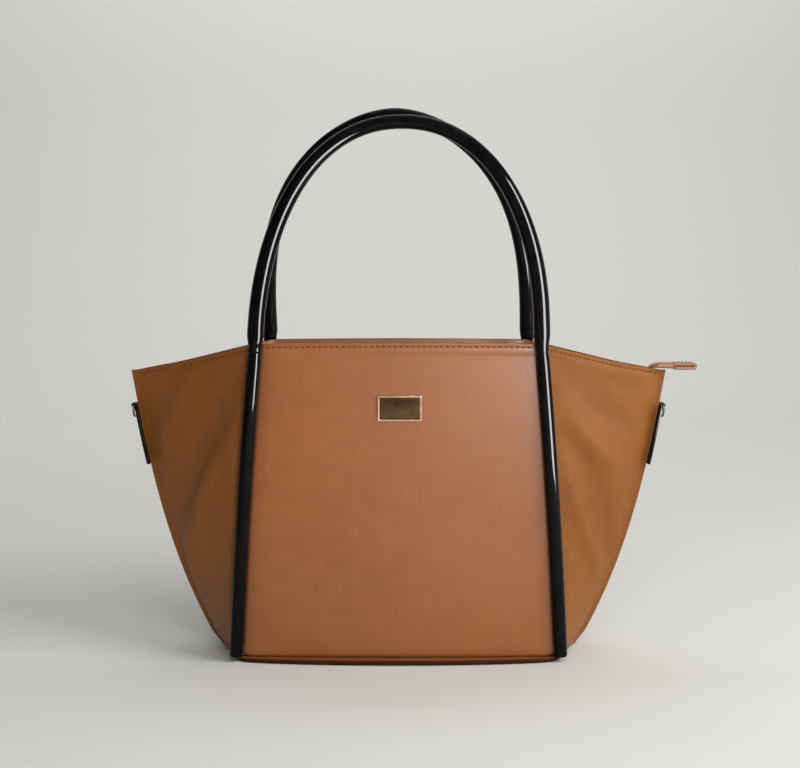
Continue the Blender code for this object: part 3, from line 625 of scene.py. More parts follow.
def front_walk(t, inset, stop, wing_steps, panel_steps):
    """The front half of a layer in plan, from its left tip along both corners to its right tip."""
    first = corner_back(t, inset) / wing_length(t)
    last = wing_reach(t, inset, stop)
    right = [wing_point(t, mix(first, last, i / wing_steps), inset) for i in range(1, wing_steps + 1)]
    half = corner_x(t) - corner_back(t, inset)
    y, z = -half_depth(t) + inset, mix(SEAT, RIM_HEIGHT, t)
    panel = [Vector((mix(-half, half, i / panel_steps), y, z)) for i in range(panel_steps + 1)]
    return [Vector((-p.x, p.y, p.z)) for p in reversed(right)] + panel + right


def turned_back(points):
    return [Vector((-p.x, -p.y, p.z)) for p in points]


def half_depth_inside(x, z, inset):
    """Half of the room between the front and the back wall at one place, with an inset from their faces."""
    xs, ys = [], []
    for s in np.linspace(0.0, 1.0, 60):
        top = mix(RIM_HEIGHT, SIDE_RIM_HEIGHT, s)
        point = wing_point(min(1.0, (z - SEAT) / (top - SEAT)), s, inset)
        xs.append(point.x)
        ys.append(-point.y)
    return min(half_depth(level_at(z)) - inset, float(np.interp(abs(x), xs, ys)))


def even(line, step):
    """The same line with its points a fixed step apart."""
    points = np.array(line)
    along = np.concatenate([[0], np.cumsum(np.linalg.norm(np.diff(points, axis=0), axis=1))])
    places = np.linspace(0, along[-1], int(along[-1] / step) + 1)
    return [tuple(np.interp(d, along, points[:, k]) for k in range(3)) for d in places]


def round_box(half_x, half_y, corner, steps):
    """A box in plan with round corners, anticlockwise from its right side."""
    points = []
    for k, (a, b) in enumerate(((1, 1), (-1, 1), (-1, -1), (1, -1))):
        x, y = a * (half_x - corner), b * (half_y - corner)
        for turn in np.linspace(0, math.pi / 2, steps) + k * math.pi / 2:
            points.append((x + corner * math.cos(turn), y + corner * math.sin(turn)))
    return points


def soft_noise(x, z, seed, scale):
    return noise.noise(Vector((x * scale + seed * 13.7, seed * 5.1, z * scale)))


def levels(body_rows, hem_rows):
    """Heights from 0 to 1 that come closer together in the turned hem at the rim."""
    edge = 1 - 11 * MM / TALL
    return np.concatenate([np.linspace(0, edge, body_rows, endpoint=False), np.linspace(edge, 1, hem_rows)])


def hem_shape(down, stitch):
    """The turned edge and the sunk stitch line, as a step out of the surface this far below the rim."""
    return 0.30 * MM * (1 - ease((down - 5.5 * MM) / (5.0 * MM))) - 0.22 * MM * bell(down - stitch, 0.8 * MM)


def hem_tint(down, stitch):
    return 0.10 * bell(down - stitch, 0.7 * MM) + 0.60 * bell(down, 0.6 * MM)


def painted_seam_shade(gap):
    """Painted shade on the leather beside a corner tube: gap is the distance from the corner seam."""
    past = max(0.0, gap - LEG_COVER)
    return 0.85 * bell(past, 1.2 * MM) + 0.30 * math.exp(-past / (5.0 * MM))


# Front and back panels


BELLY = 4.2 * MM
BELLY_POWER = 0.75
RIM_CROWN = 0.8 * MM
TUBE_TUCK = 1.1 * MM
FOOT_TUCK = 1.3 * MM
FOOT_DROP = 0.9 * MM
CORNER_LIFT = 3.4 * MM
TUBE_EDGE = 3.0 * MM


def panel_surface(u, v, seed):
    """The front panel's outer face, u and v from 0 to 1: it swells a little towards its foot."""
    half = corner_x(v) - 0.2 * MM
    x = mix(-half, half, u)
    z = mix(SEAT, RIM_HEIGHT, v)
    past = max(0.0, half - abs(x) - TUBE_EDGE)
    across = math.sin(math.pi * u) ** BELLY_POWER if 0 < u < 1 else 0.0
    swell = BELLY * across * (1 - ease(v / 0.85)) + 1.0 * MM * across * arc(v)
    swell += 0.45 * MM * soft_noise(x, z, seed, 14) * across * arc(v)
    swell -= FOOT_TUCK * max(0.0, 1 - v * TALL / (2.4 * MM)) ** 2
    swell += hem_shape((1 - v) * TALL, PANEL_STITCH)
    swell -= TUBE_TUCK * math.exp(-past / (5.0 * MM)) * ease(v / 0.04)
    z += RIM_CROWN * arc(u) * v
    z -= FOOT_DROP * (1 - ease(v / 0.05))
    z += CORNER_LIFT * max(0.0, 1 - past / (9.0 * MM)) ** 2.4 * (1 - ease(v / 0.08))
    return Vector((x, -half_depth(v) - swell, z))


def panel_edges_and_painted_shade(u, v):
    hem = hem_tint((1 - v) * TALL, PANEL_STITCH)
    # Painted shade: the panel darkens towards its lower half and most at its very foot; the corner-tube term
    # is painted shade too.
    foot = 0.25 * math.exp(-v / 0.006) + 0.11 * (1 - ease(v / 0.55))
    return min(1.0, hem + foot + painted_seam_shade(corner_x(v) * (1 - abs(2 * u - 1))))


def panels():
    vs = np.concatenate([[0.0, 0.0025, 0.006, 0.010], levels(62, 26)[2:]])
    us = np.linspace(0, 1, 57)[3:-3]
    us = np.concatenate([np.linspace(0, us[0], 16)[:-1], us, np.linspace(us[-1], 1, 16)[1:]])
    for name, front, turned, seed in (("front_panel", 1, list, 1), ("back_panel", -1, turned_back, 3)):
        rows = [turned([panel_surface(u, v, seed) for u in us]) for v in vs]
        tint = [[panel_edges_and_painted_shade(u, v) for u in us] for v in vs]
        obj = sheet(name + "_leather", rows, WALL, 0.85 * MM, TAN, hem=tint)
        settle(obj, "bag", "tan_leather", name)
        line = [panel_surface(u, 1 - PANEL_STITCH / TALL, seed) for u in np.linspace(0.026, 0.974, 90)]
        stitch_row(obj, "bag", turned(line), (0, -front, 0))


# Wings


FOLD_SCALE = (90 * MM, 240 * MM)
FOLD_GAIN = 2.5
FLANGE_CUT = 3.2 * MM


def fold_line(points, depth, width):
    """A fold of the side wall, from places given as height and distance along it; the rest in millimetres."""
    line = [(s * FOLD_SCALE[0], t * FOLD_SCALE[1], 0.0) for t, s in points]
    line = np.array(even(line, 2.5 * MM))[:, :2]
    for _ in range(6):
        line[1:-1] = (line[:-2] + 2 * line[1:-1] + line[2:]) / 4
    part = np.linspace(0, 1, len(line))
    return line / FOLD_SCALE, np.sin(np.pi * np.clip(part, 0.03, 0.97)) ** 0.5, depth * MM, width * MM


LEFT_FOLDS = [
    fold_line([(0.92, 0.06), (0.84, 0.18), (0.74, 0.34), (0.62, 0.54), (0.51, 0.75), (0.40, 1.05)], -2.6, 12),
    fold_line([(0.70, 0.26), (0.56, 0.46), (0.42, 0.64), (0.17, 1.0)], 1.6, 10),
    fold_line([(1.00, 0.50), (0.88, 0.62), (0.74, 0.86)], 1.2, 13),
    fold_line([(0.40, 0.12), (0.18, 0.50)], -0.8, 9),
]
RIGHT_FOLDS = [
    fold_line([(0.925, 0.02), (0.925, 0.96)], -0.8, 6.0),
    fold_line([(0.96, 0.10), (0.87, 0.42), (0.77, 0.80)], -1.9, 9.0),
    fold_line([(0.76, 0.20), (0.63, 0.70)], 1.7, 10),
    fold_line([(0.74, 0.12), (0.64, 0.36), (0.55, 0.50), (0.43, 0.67), (0.29, 0.98)], -2.3, 8.5),
    fold_line([(0.66, 0.06), (0.52, 0.22), (0.40, 0.37), (0.26, 0.76)], 2.1, 7.5),
]


def fold_depth(t, s, folds):
    """What the folds add to the side wall at one place, below zero in a valley."""
    size = (wing_length(t), TALL)
    total = 0.0
    for line, strength, depth, width in folds:
        gaps = ((line - (s, t)) * size) ** 2
        near = strength * np.exp(-gaps.sum(1) / (width * width))
        total += depth * float((near ** 8).mean() ** 0.125) * FOLD_GAIN
    return total


def wing_folds(t, s, folds, seed):
    """How far the soft side wall stands out of, or sinks below, its plain form."""
    total = fold_depth(t, s, folds)
    total += 0.7 * MM * soft_noise(s * wing_length(t), t * TALL, seed, 22)
    high = ease((t - 0.78) / 0.07)
    total += mix(1.9, 0.9, high) * MM
    least, soft = mix(-1.1, -0.1, high) * MM, 0.6 * MM
    total = least + soft * math.log1p(math.exp(min(30.0, (total - least) / soft)))
    held = ease((s - 0.03) / 0.16) * (1 - ease((s - 0.82) / 0.18) * 0.75)
    rim = 1 - 0.75 * ease((t - 0.955) / 0.03)
    return total * held * rim * ease(t / 0.05)


def tip_lift(t, s):
    """The rim's line flattens towards the side seam."""
    return TIP_LIFT * ease((s - 0.6) / 0.4) * ease((t - 0.8) / 0.2)


def wing_surface(t, d, folds, seed):
    """The front right wing's outer face: d is the distance along it from the corner, then along the seam."""
    length = wing_length(t)
    turn = wing_turn(t)

    def on_wall(distance):
        s = distance / length
        place = wing_point(t, s)
        place.z += tip_lift(t, s)
        hem = hem_shape((1 - t) * TALL, WING_STITCH) * (1 - ease((s - 0.95) / 0.05))
        return place + Vector((math.sin(turn), -math.cos(turn), 0)) * (wing_folds(t, s, folds, seed) + hem)

    if d <= length - SEAM_ROUND:
        return on_wall(d)
    corner = wing_point(t, 1.0)
    corner.z += tip_lift(t, 1.0)
    flat = Vector((1, 0, 0))
    if d >= length + SEAM_END:
        return corner + flat * (d - length)
    first, last = on_wall(length - SEAM_ROUND), corner + flat * SEAM_END
    f = (d - length + SEAM_ROUND) / (SEAM_ROUND + SEAM_END)
    return first * (1 - f) ** 2 + corner * 2 * f * (1 - f) + last * f * f


def wing_stations(t):
    """Distances along the side wall, closer together where it turns into the seam."""
    near, past = wing_length(t) - SEAM_ROUND, wing_length(t) + SEAM_END
    return np.concatenate(
        [
            np.linspace(corner_back(t, WALL) + SEAM_GAP / 2, near, 44, endpoint=False),
            np.linspace(near, past, 9, endpoint=False),
            np.linspace(past, wing_length(t) + SEAM_FLANGE, 4),
        ]
    )


def wing_edges_and_painted_shade(t, d, folds):
    length = wing_length(t)
    hem = hem_tint((1 - t) * TALL, WING_STITCH) * (d < length - 1.0 * MM)
    seam = 0.10 * bell(d - length, 1.4 * MM) + 0.12 * (d > length)
    # Painted shade in the fold valleys, darker where a fold sinks deeper; the corner-tube term is painted
    # shade too.
    valley = 0.14 * min(1.0, max(0.0, -fold_depth(t, d / length, folds) / (2.5 * MM)))
    return min(1.0, hem + seam + valley + 0.6 * painted_seam_shade(d))


def wings():
    """The four side walls, whose seam flange is cut narrower near the foot."""
    ts = np.concatenate([[-0.013, -0.006], levels(70, 26)])
    for name, side, front in CORNERS:
        folds = RIGHT_FOLDS if side == front else LEFT_FOLDS
        seed = 5 + 2 * side + front
        rows, tint = [], []
        for t in ts:
            near = wing_length(t) - SEAM_ROUND
            flange = SEAM_FLANGE - FLANGE_CUT * (1 - ease((t + 0.013) / 0.055))
            squeeze = (flange + SEAM_ROUND) / (SEAM_FLANGE + SEAM_ROUND)
            row, dark = [], []
            for d in wing_stations(t):
                p = wing_surface(t, d if d < near else near + (d - near) * squeeze, folds, seed)
                row.append((p.x * side, p.y * front, p.z))
                dark.append(wing_edges_and_painted_shade(t, d, folds))
            rows.append(row[::side * front])
            tint.append(dark[::side * front])
        obj = sheet(name + "_wing_leather", rows, WALL - 0.05 * MM, 0.8 * MM, TAN_WING, hem=tint)
        settle(obj, "bag", "tan_leather", name + "_wing")
        t = 1 - WING_STITCH / TALL
        line = [wing_surface(t, d, folds, seed) for d in np.linspace(7.0 * MM, wing_length(t) - 3.0 * MM, 60)]
        facing = (math.sin(wing_turn(t)) * side, -math.cos(wing_turn(t)) * front, 0.05)
        stitch_row(obj, "bag", [(p.x * side, p.y * front, p.z) for p in line], facing)


# Base


def base_outline(inset, bulge):
    """The base in plan, anticlockwise from the front left corner, its front and back edges bowed out."""
    corner = CORNER_BASE - inset * 0.7 - 0.8 * MM
    depth = BASE_DEPTH / 2 - inset
    tip = SIDE_BASE - 9.0 * MM - inset * 2.4
    blunt = 4.0 * MM
    line = []
    for u in np.linspace(0, 1, 61):
        across = math.sin(math.pi * u) if 0 < u < 1 else 0.0
        bow = BELLY * across ** BELLY_POWER + bulge * across ** 0.36
        line.append((mix(-corner, corner, u), -depth - bow))
    side = []
    for f in np.linspace(0.1, 1, 10):
        side.append((mix(corner, tip, f), mix(-depth, -blunt, f) + 1.6 * MM * arc(f)))
    line += side
    line += [(tip + 1.0 * MM * arc(f), mix(-blunt, blunt, f)) for f in np.linspace(0.2, 0.8, 4)]
    line += [(x, -y) for x, y in reversed(side)]
    return line + [(-x, -y) for x, y in line]


def base():
    """Its rounded edge stands out below the panels: inset, height and how far it bulges, in millimetres."""
    profile = (
        (5.5, 0.0, 8.6), (3.0, 0.1, 9.6), (1.4, 0.45, 10.2), (0.5, 1.0, 10.4),
        (0.1, 1.6, 10.1), (0.0, 2.1, 9.2), (0.0, 2.6, 7.6), (0.2, 3.05, 5.0),
        (0.7, 3.4, 2.4), (1.6, 3.6, 0.6), (2.4, 3.64, 0.0), (3.4, 3.65, 0.0),
    )
    loops = [[(x, y, z * MM) for x, y in base_outline(inset * MM, bulge * MM)] for inset, z, bulge in profile]
    obj = ringed("base_panel_leather", loops, TAN_BASE, 60)
    # Painted shade: the lower part of the rounded edge, below 2.7 mm, is darkened nearly to black through the
    # hem attribute; a dark line is also painted at its top, where it meets the panels.
    heights = [p[2] / MM for loop in loops for p in loop]
    painted(obj.data, np.interp(heights, (2.7, 3.15, 3.5, 3.62), (1.0, 0.0, 0.0, 0.9)))
    settle(obj, "bag", "tan_leather", "base_panel")


# Facings and lining


def facings():
    top = 1 - 0.5 * MM / TALL
    low = 1 - FACING_HEIGHT / TALL
    near = WALL + 0.25 * MM
    thick = CLEAR_INSIDE - near
    for name, front, turned in (("front_facing", 1, list), ("back_facing", -1, turned_back)):
        rows, tint = [], []
        for t in [mix(low, top, v) for v in np.linspace(0, 1, 22)]:
            walk = front_walk(t, near, thick * math.cos(wing_turn(t)) + 0.4 * MM, 22, 44)
            rows.append(turned(walk))
            tint.append([hem_tint((top - t) * TALL, 4.6 * MM) * 0.6] * len(walk))
        obj = sheet(name + "_leather", rows, thick, 0.45 * MM, TAN_TRIM, hem=tint)
        settle(obj, "bag", "tan_leather", name)
        line = turned(front_walk(mix(low, top, 0.08), CLEAR_INSIDE, 3.0 * MM, 22, 44))[2:-2]
        stitch_row(obj, "bag", line, (0, front, 0), length=2.7 * MM, radius=0.3 * MM)


def lining():
    """The lining as one bag of cloth, hung from the facings and slack towards its middle height."""
    high = 1 - (FACING_HEIGHT - 4 * MM) / TALL
    low = 2.8 * MM / TALL
    rows_count = 44
    rows = []
    for j in range(rows_count + 1):
        v = j / rows_count
        walk = front_walk(mix(low, high, v), INSIDE + 1.1 * MM, 4.6 * MM, 14, 30)
        loose = arc(v) ** 0.7
        row = []
        for p in walk + turned_back(walk):
            inward = Vector((-p.x * 0.25, -p.y, 0)).normalized()
            hang = 1.3 * MM * abs(soft_noise(p.x * 3 + p.y * 2, p.z * 0.6, 11, 16))
            crease = 1.0 * MM * abs(soft_noise(p.x, p.z * 2.4, 17, 24))
            row.append(p + inward * (hang + crease) * loose)
        rows.append(row)
    count = len(rows[0])

    def foot(bm):
        for i in range(count // 2 - 1):
            partner = count - 1 - i
            bm.faces.new((bm.verts[i + 1], bm.verts[i], bm.verts[partner], bm.verts[partner - 1]))

    mesh = edited(from_grid("lining_cloth", rows, close=True), foot, outward)
    obj = mesh_object("lining_cloth", mesh, LINING)
    shelled(obj, 0.5 * MM)
    baked(obj)
    sharp_above(obj, 50)
    settle(obj, "bag", "lining_fabric", "lining")


# Corner tubes and handles


def leg_centre(t):
    half_turn = wing_turn(t) / 2
    x = corner_x(t) + LEG_STAND_OFF * math.sin(half_turn)
    y = -half_depth(t) - LEG_STAND_OFF * math.cos(half_turn)
    return Vector((x, y, mix(SEAT, RIM_HEIGHT, t)))


def clear_of_walls(point, side, front):
    """Moves a point of a corner tube out to the faces of the two walls that it is sewn to."""
    t = max(0.0, min(1.0, level_at(point.z)))
    x, y = point.x * side, point.y * front
    turn = wing_turn(t)
    panel_out = -(y + half_depth(t))
    wing_out = (x - corner_x(t)) * math.sin(turn) - (y + half_depth(t)) * math.cos(turn)
    if panel_out >= SKIN_GAP or wing_out >= SKIN_GAP:
        return point
    if panel_out > wing_out:
        y -= SKIN_GAP - panel_out
    else:
        x += (SKIN_GAP - wing_out) * math.sin(turn)
        y -= (SKIN_GAP - wing_out) * math.cos(turn)
    return Vector((x * side, y * front, point.z))


def flat_ends(path, radii):
    """Closes both ends with a short rounded edge and a nearly flat cap."""
    path = [Vector(p) for p in path]
    head = (path[0] - path[1]).normalized()
    tail = (path[-1] - path[-2]).normalized()
    steps = ((1.45, 0.45), (1.3, 0.72), (0.95, 0.88), (0.5, 0.97))
    before = [(path[0] + head * (out * MM), radii[0] * k) for out, k in steps]
    after = [(path[-1] + tail * (out * MM), radii[-1] * k) for out, k in reversed(steps)]
    joined = before + list(zip(path, radii)) + after
    return [p for p, _ in joined], [r for _, r in joined]


def legs():
    for name, side, front in CORNERS:
        path, radii = [], []
        for z in np.linspace(5.2 * MM, LEG_TOP - 3.0 * MM, 90):
            centre = leg_centre(level_at(z))
            path.append((centre.x * side, centre.y * front, z))
            neck = ease((z - (LEG_TOP - 12 * MM)) / (10 * MM))
            foot = 1 - ease((z - 5 * MM) / (12 * MM))
            lump = 0.06 * MM * soft_noise(side * 3.0, z, front + 2, 90)
            radii.append(LEG_RADIUS - 0.55 * MM * neck - 0.2 * MM * foot + lump)
        path, radii = flat_ends(path, radii)
        section = lambda p, side=side, front=front: clear_of_walls(p, side, front)
        obj = tube(name + "_leg_tube", path, radii, PATENT, TUBE_SIDES, section=section)
        settle(obj, "bag", "black_patent", name + "_leg")


def handle_line(top, front, extra, powers):
    """A handle's middle line: both feet, the leaning arch between them and a soft bend where they meet."""
    reach = -top.y - HANDLE_RADIUS - 0.15 * MM
    rise = HANDLE_APEX + extra - HINGE_HEIGHT
    height = math.hypot(rise, reach)
    lean = math.atan2(reach, rise)
    foot = []
    for z in np.linspace(HANDLE_START, HINGE_HEIGHT, 12, endpoint=False):
        centre = leg_centre(min(1.0, level_at(z)))
        foot.append((-centre.x, centre.y * front, z))
    turns = 150
    arch = []
    for i in range(turns + 1):
        angle = math.pi * i / turns
        x = -top.x * math.copysign(abs(math.cos(angle)) ** (2 / powers[0]), math.cos(angle))
        z = height * math.sin(angle) ** (2 / powers[1]) if 0 < i < turns else 0.0
        x += HANDLE_SWAY * front * (z / height) * (2 - z / height)
        arch.append((x, (top.y + z * math.sin(lean)) * front, HINGE_HEIGHT + z * math.cos(lean)))
    line = np.array(even(foot + arch + [(-x, y, z) for x, y, z in reversed(foot)], 1.6 * MM))
    bend = np.array([1 - ease((z - HINGE_HEIGHT - 10 * MM) / (8 * MM)) for z in line[:, 2]])[1:-1, None]
    for _ in range(22):
        line[1:-1] += bend * ((line[:-2] + line[2:]) / 2 - line[1:-1]) * 0.9
    return line.tolist()


def handles():
    top = leg_centre(1)
    for name, front, extra, powers in (
        ("front_handle", 1, 0.0, FRONT_ARCH_POWERS),
        ("back_handle", -1, BACK_HANDLE_EXTRA, BACK_ARCH_POWERS),
    ):
        line = handle_line(top, front, extra, powers)
        radii = []
        for x, y, z in line:
            low = 1 - ease((z - HANDLE_START) / (15 * MM))
            high = ease((z - 0.30) / 0.115)
            lump = 0.07 * MM * noise.noise(Vector((x * 55, z * 55, front * 4.0)))
            radii.append(HANDLE_RADIUS + 0.15 * MM - 1.75 * MM * low - 0.7 * MM * high + lump)
        line, radii = flat_ends(line, radii)

        def section(p, front=front):
            return clear_of_walls(p, 1 if p.x > 0 else -1, front) if p.z < RIM_HEIGHT + 0.4 * MM else p

        obj = tube(name + "_tube", line, radii, PATENT, TUBE_SIDES, section=section)
        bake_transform(obj)
        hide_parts(name)


# Zip

# The zip's tail: X, its top and lower face above the zip's height, and its half width, in millimetres
TAIL_STATIONS = np.array([
    [183.0, 0.55, -0.90, 6.5], [187.0, -0.30, -1.70, 5.6], [191.0, -0.95, -2.30, 4.6],
    [195.0, -1.45, -2.70, 3.4], [197.8, -1.55, -2.60, 2.9], [199.6, -0.75, -1.90, 3.2],
    [201.5, 0.65, -1.50, 5.6], [203.6, 1.95, -1.60, 7.8], [205.8, 2.70, -1.65, 8.5],
    [209.0, 2.95, -1.70, 8.7], [214.0, 2.95, -1.90, 8.7], [220.5, 2.75, -2.20, 8.6],
])


def tail_at(x, column):
    return float(np.interp(x / MM, TAIL_STATIONS[:, 0], TAIL_STATIONS[:, column])) * MM


def tail_room(x):
    """The half width that the tape may have between the two side walls."""
    return 1.0 if x < TAIL_START else tail_at(x, 3) - 0.7 * MM


def tail_sink(x):
    """The tape dips between the side walls before it climbs over their tips."""
    start = TAIL_START - 3 * MM
    return (tail_at(x, 1) + tail_at(x, 2)) / 2 * ease((x - start) / (5 * MM))


def zip_strip(node, body, ends, edges, bow=0.0, cloth=False):
    """A leather or cloth strip of the zip, from X to X: edges gives its edges' distances from the middle."""
    level, thickness = (ZIP_HEIGHT, TAPE_THICK) if cloth else (FLAP_LEVEL, FLAP_THICK)
    front = 1 if node.startswith("front") else -1
    columns, across = 90, 14
    rows, tint = [], []
    for j in range(across + 1):
        v = j / across
        row, dark = [], []
        for i in range(columns + 1):
            x = mix(*ends, i / columns)
            b, a = edges(x)
            y = mix(a, b, v)
            z = level + thickness / 2 + bow * arc(v) + 0.10 * MM * soft_noise(x, y, 19 + front, 40)
            z += tail_sink(abs(x)) if cloth else 0.0
            row.append((x * front, -y * front, z))
            dark.append(0.0 if cloth else 0.5 * bell(min(v, 1 - v) * (a - b), 0.7 * MM))
        rows.append(row)
        tint.append(dark)
    name, material = (node + "_cloth", ZIP_CLOTH) if cloth else (node + "_leather", TAN_TRIM)
    obj = sheet(name, rows, thickness, min(0.3 * MM, thickness * 0.35), material, hem=tint)
    return settle(obj, body, "zip_cloth" if cloth else "tan_leather", node)


def zip_stitches(owner, body, xs, front, z):
    line = [(x, -(FLAP_INNER + ZIP_STITCH) * front, z) for x in xs]
    stitch_row(owner, body, line, (0, 0, 1), length=2.5 * MM, radius=0.28 * MM, pitch=3.6 * MM)


def zip_end(side, front, end_name, sign):
    """One closed end of the zip on one side: its gusset of leather, with stitches, and its own tape."""
    xs = np.linspace(END_START, 182 * MM, 12)
    depths = [half_depth_inside(x, FLAP_LEVEL, CLEAR_INSIDE) - FLAP_GAP for x in xs]
    last = max([END_START] + [x for x, depth in zip(xs, depths) if depth > FLAP_INNER + 1 * MM])
    ends = sorted((END_START * sign * front, last * sign * front))
    edges = lambda x: (FLAP_INNER, float(np.interp(abs(x), xs, depths)))
    gusset = zip_strip(f"{side}_{end_name}_gusset", "bag", ends, edges, bow=0.3 * MM)
    stitched = np.linspace(END_START + 1 * MM, last - 1 * MM, 40) * sign
    zip_stitches(gusset, "bag", stitched, front, FLAP_LEVEL + 0.75 * MM)

    def tape_edges(x):
        outer = min(END_TAPE_EDGE + 4.6 * MM, tail_room(abs(x)))
        return min(END_TAPE_EDGE, outer - 0.8 * MM), outer

    last = 162.5 * MM if sign < 0 else 203.0 * MM
    ends = sorted((END_START * sign * front, last * sign * front))
    zip_strip(f"{side}_{end_name}_tape", "bag", ends, tape_edges, cloth=True)


def zip_parts():
    hinge = half_depth(level_at(ZIP_HEIGHT)) - CLEAR_INSIDE - FLAP_GAP
    bow = 0.5 * MM
    for side, front in (("front", 1), ("back", -1)):
        body = side + "_flap"
        ends = (-FLAP_END, FLAP_END)
        flap = zip_strip(side + "_zip_flap", body, ends, lambda x: (FLAP_INNER, hinge), bow=bow)
        bowed = bow * arc((hinge - FLAP_INNER - ZIP_STITCH) / (hinge - FLAP_INNER))
        stitched = np.linspace(-FLAP_END + 1 * MM, FLAP_END - 1 * MM, 60)
        zip_stitches(flap, body, stitched, front, FLAP_LEVEL + FLAP_THICK / 2 + bowed)
        zip_strip(side + "_zip_tape", body, ends, lambda x: (TAPE_EDGE, TAPE_EDGE + 10.5 * MM), cloth=True)
        for end_name, sign in (("left", -1), ("tail", 1)):
            zip_end(side, front, end_name, sign)


def tail_sleeve():
    """The zip's end: a leather sleeve over the tape."""
    sides = 30
    loops = []
    for x in np.linspace(TAIL_STATIONS[0, 0], TAIL_STATIONS[-1, 0], 64) * MM:
        top, low, half_width = tail_at(x, 1), tail_at(x, 2), tail_at(x, 3)
        middle, half = (top + low) / 2, (top - low) / 2
        loop = []
        for k in range(sides):
            turn = 2 * math.pi * k / sides
            cy, cz = math.cos(turn), math.sin(turn)
            y = half_width * math.copysign(abs(cy) ** 0.35, cy)
            loop.append((x, y, ZIP_HEIGHT + middle + half * math.copysign(abs(cz) ** 0.6, cz)))
        loops.append(loop)

    def smooth(bm):
        inner = bm.verts[sides:len(bm.verts) - sides]
        bmesh.ops.smooth_vert(bm, verts=inner, factor=0.5, use_axis_x=False, use_axis_y=True, use_axis_z=True)

    sleeve = ringed("zip_tail_sleeve", loops, TAN_TRIM, 60, smooth)
    painted(sleeve.data, [0.0] * len(sleeve.data.vertices))
    settle(sleeve, "bag", "tan_leather")


def tail_tab():
    """The tail's folded leather tab, the tape's end between its two layers, and its four rows of stitches."""
    slot_half, layer, half = 0.35 * MM, 2.5 * MM, 9.0 * MM
    end, start = 237.2 * MM, 218.4 * MM
    middle = slot_half + layer / 2
    bend = end - slot_half - layer
    line = [(x, middle) for x in np.linspace(start, bend, 16)[:-1]]
    turns = np.linspace(math.pi / 2, -math.pi / 2, 13)
    line += [(bend + middle * math.cos(a), middle * math.sin(a)) for a in turns]
    line += [(x, -middle) for x in np.linspace(bend, start + 1.2 * MM, 16)[1:]]
    columns = 14
    ys = [mix(-half, half, k / columns) for k in range(columns + 1)]
    rows = [[(x, y, ZIP_HEIGHT + z) for y in ys] for x, z in line]
    tint = [[0.35 * bell(half - abs(y), 0.8 * MM) for y in ys] for _ in line]
    tab = sheet("zip_tail_tab_leather", rows, layer, 0.5 * MM, TAN_TRIM, hem=tint, offset=0.0)
    settle(tab, "bag", "tan_leather", "zip_tail_tab")
    ys = np.linspace(0.3 * MM - half, half - 0.3 * MM, 9)
    rows = [[(x, y, ZIP_HEIGHT + 0.3 * MM) for y in ys] for x in np.linspace(bend - 1 * MM, start, 9)]
    settle(sheet("zip_tail_tape_end", rows, TAPE_THICK, 0.1 * MM, ZIP_CLOTH), "bag", "zip_cloth")
    z = ZIP_HEIGHT + slot_half + layer + 0.02 * MM
    x0, x1, y = start + 1.5 * MM, end - 3.2 * MM, half - 2.0 * MM
    corners = [(x0, -y, z), (x1, -y, z), (x1, y, z), (x0, y, z)]
    for k, (a, b) in enumerate(zip(corners, corners[1:] + corners[:1])):
        line = [Vector(a).lerp(Vector(b), f) for f in np.linspace(0, 1, 6)]
        stitch_row(tab, "bag", line, (0, 0, 1), 2.3 * MM, 0.28 * MM, 3.2 * MM, suffix=f"_{k}")


# Hardware


RING_HEIGHT = 195.5 * MM
RING_WIRE = 0.8 * MM
PLATE_WIDTH = 33.8 * MM
PLATE_HEIGHT = 19.8 * MM
PLATE_SHIFT = 0.8 * MM


def rings():
    """The two D-rings, each a straight bar in its tab's loop and a bow that hangs below it."""
    half = 15 * MM / 2 + 1.15 * MM
    bend = 1.2 * MM
    drop, arm = 9.5 * MM, 4.75 * MM
    corner = []
    for a in np.linspace(0.25, 1, 4) * math.pi / 2:
        corner.append((half - bend + bend * math.sin(a), -bend * (1 - math.cos(a))))
    line = [(f * (half - bend), 0) for f in np.linspace(-1, 1, 15)] + corner
    line += [(half * math.cos(a), -arm - (drop - arm) * math.sin(a)) for a in np.linspace(0, math.pi, 33)]
    line += [(-y, z) for y, z in reversed(corner)]
    for name, side in (("right_d_ring", 1), ("left_d_ring", -1)):
        low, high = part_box(name)
        x = abs(low.x + high.x) / 2
        path = [(x * side, y, RING_HEIGHT + z) for y, z in line]
        obj = tube(name + "_wire", path, [RING_WIRE] * len(path), NICKEL, 16, cyclic=True)
        settle(obj, name.split("_")[0] + "_ring", "grey_metal", name)


def plate_loop(inset, out, corner):
    """The plate's outline with round corners, this far in from its edge and out from its back."""
    line = round_box(PLATE_WIDTH / 2 - inset, PLATE_HEIGHT / 2 - inset, corner, 6)
    return [(x, -out, z) for x, z in line]


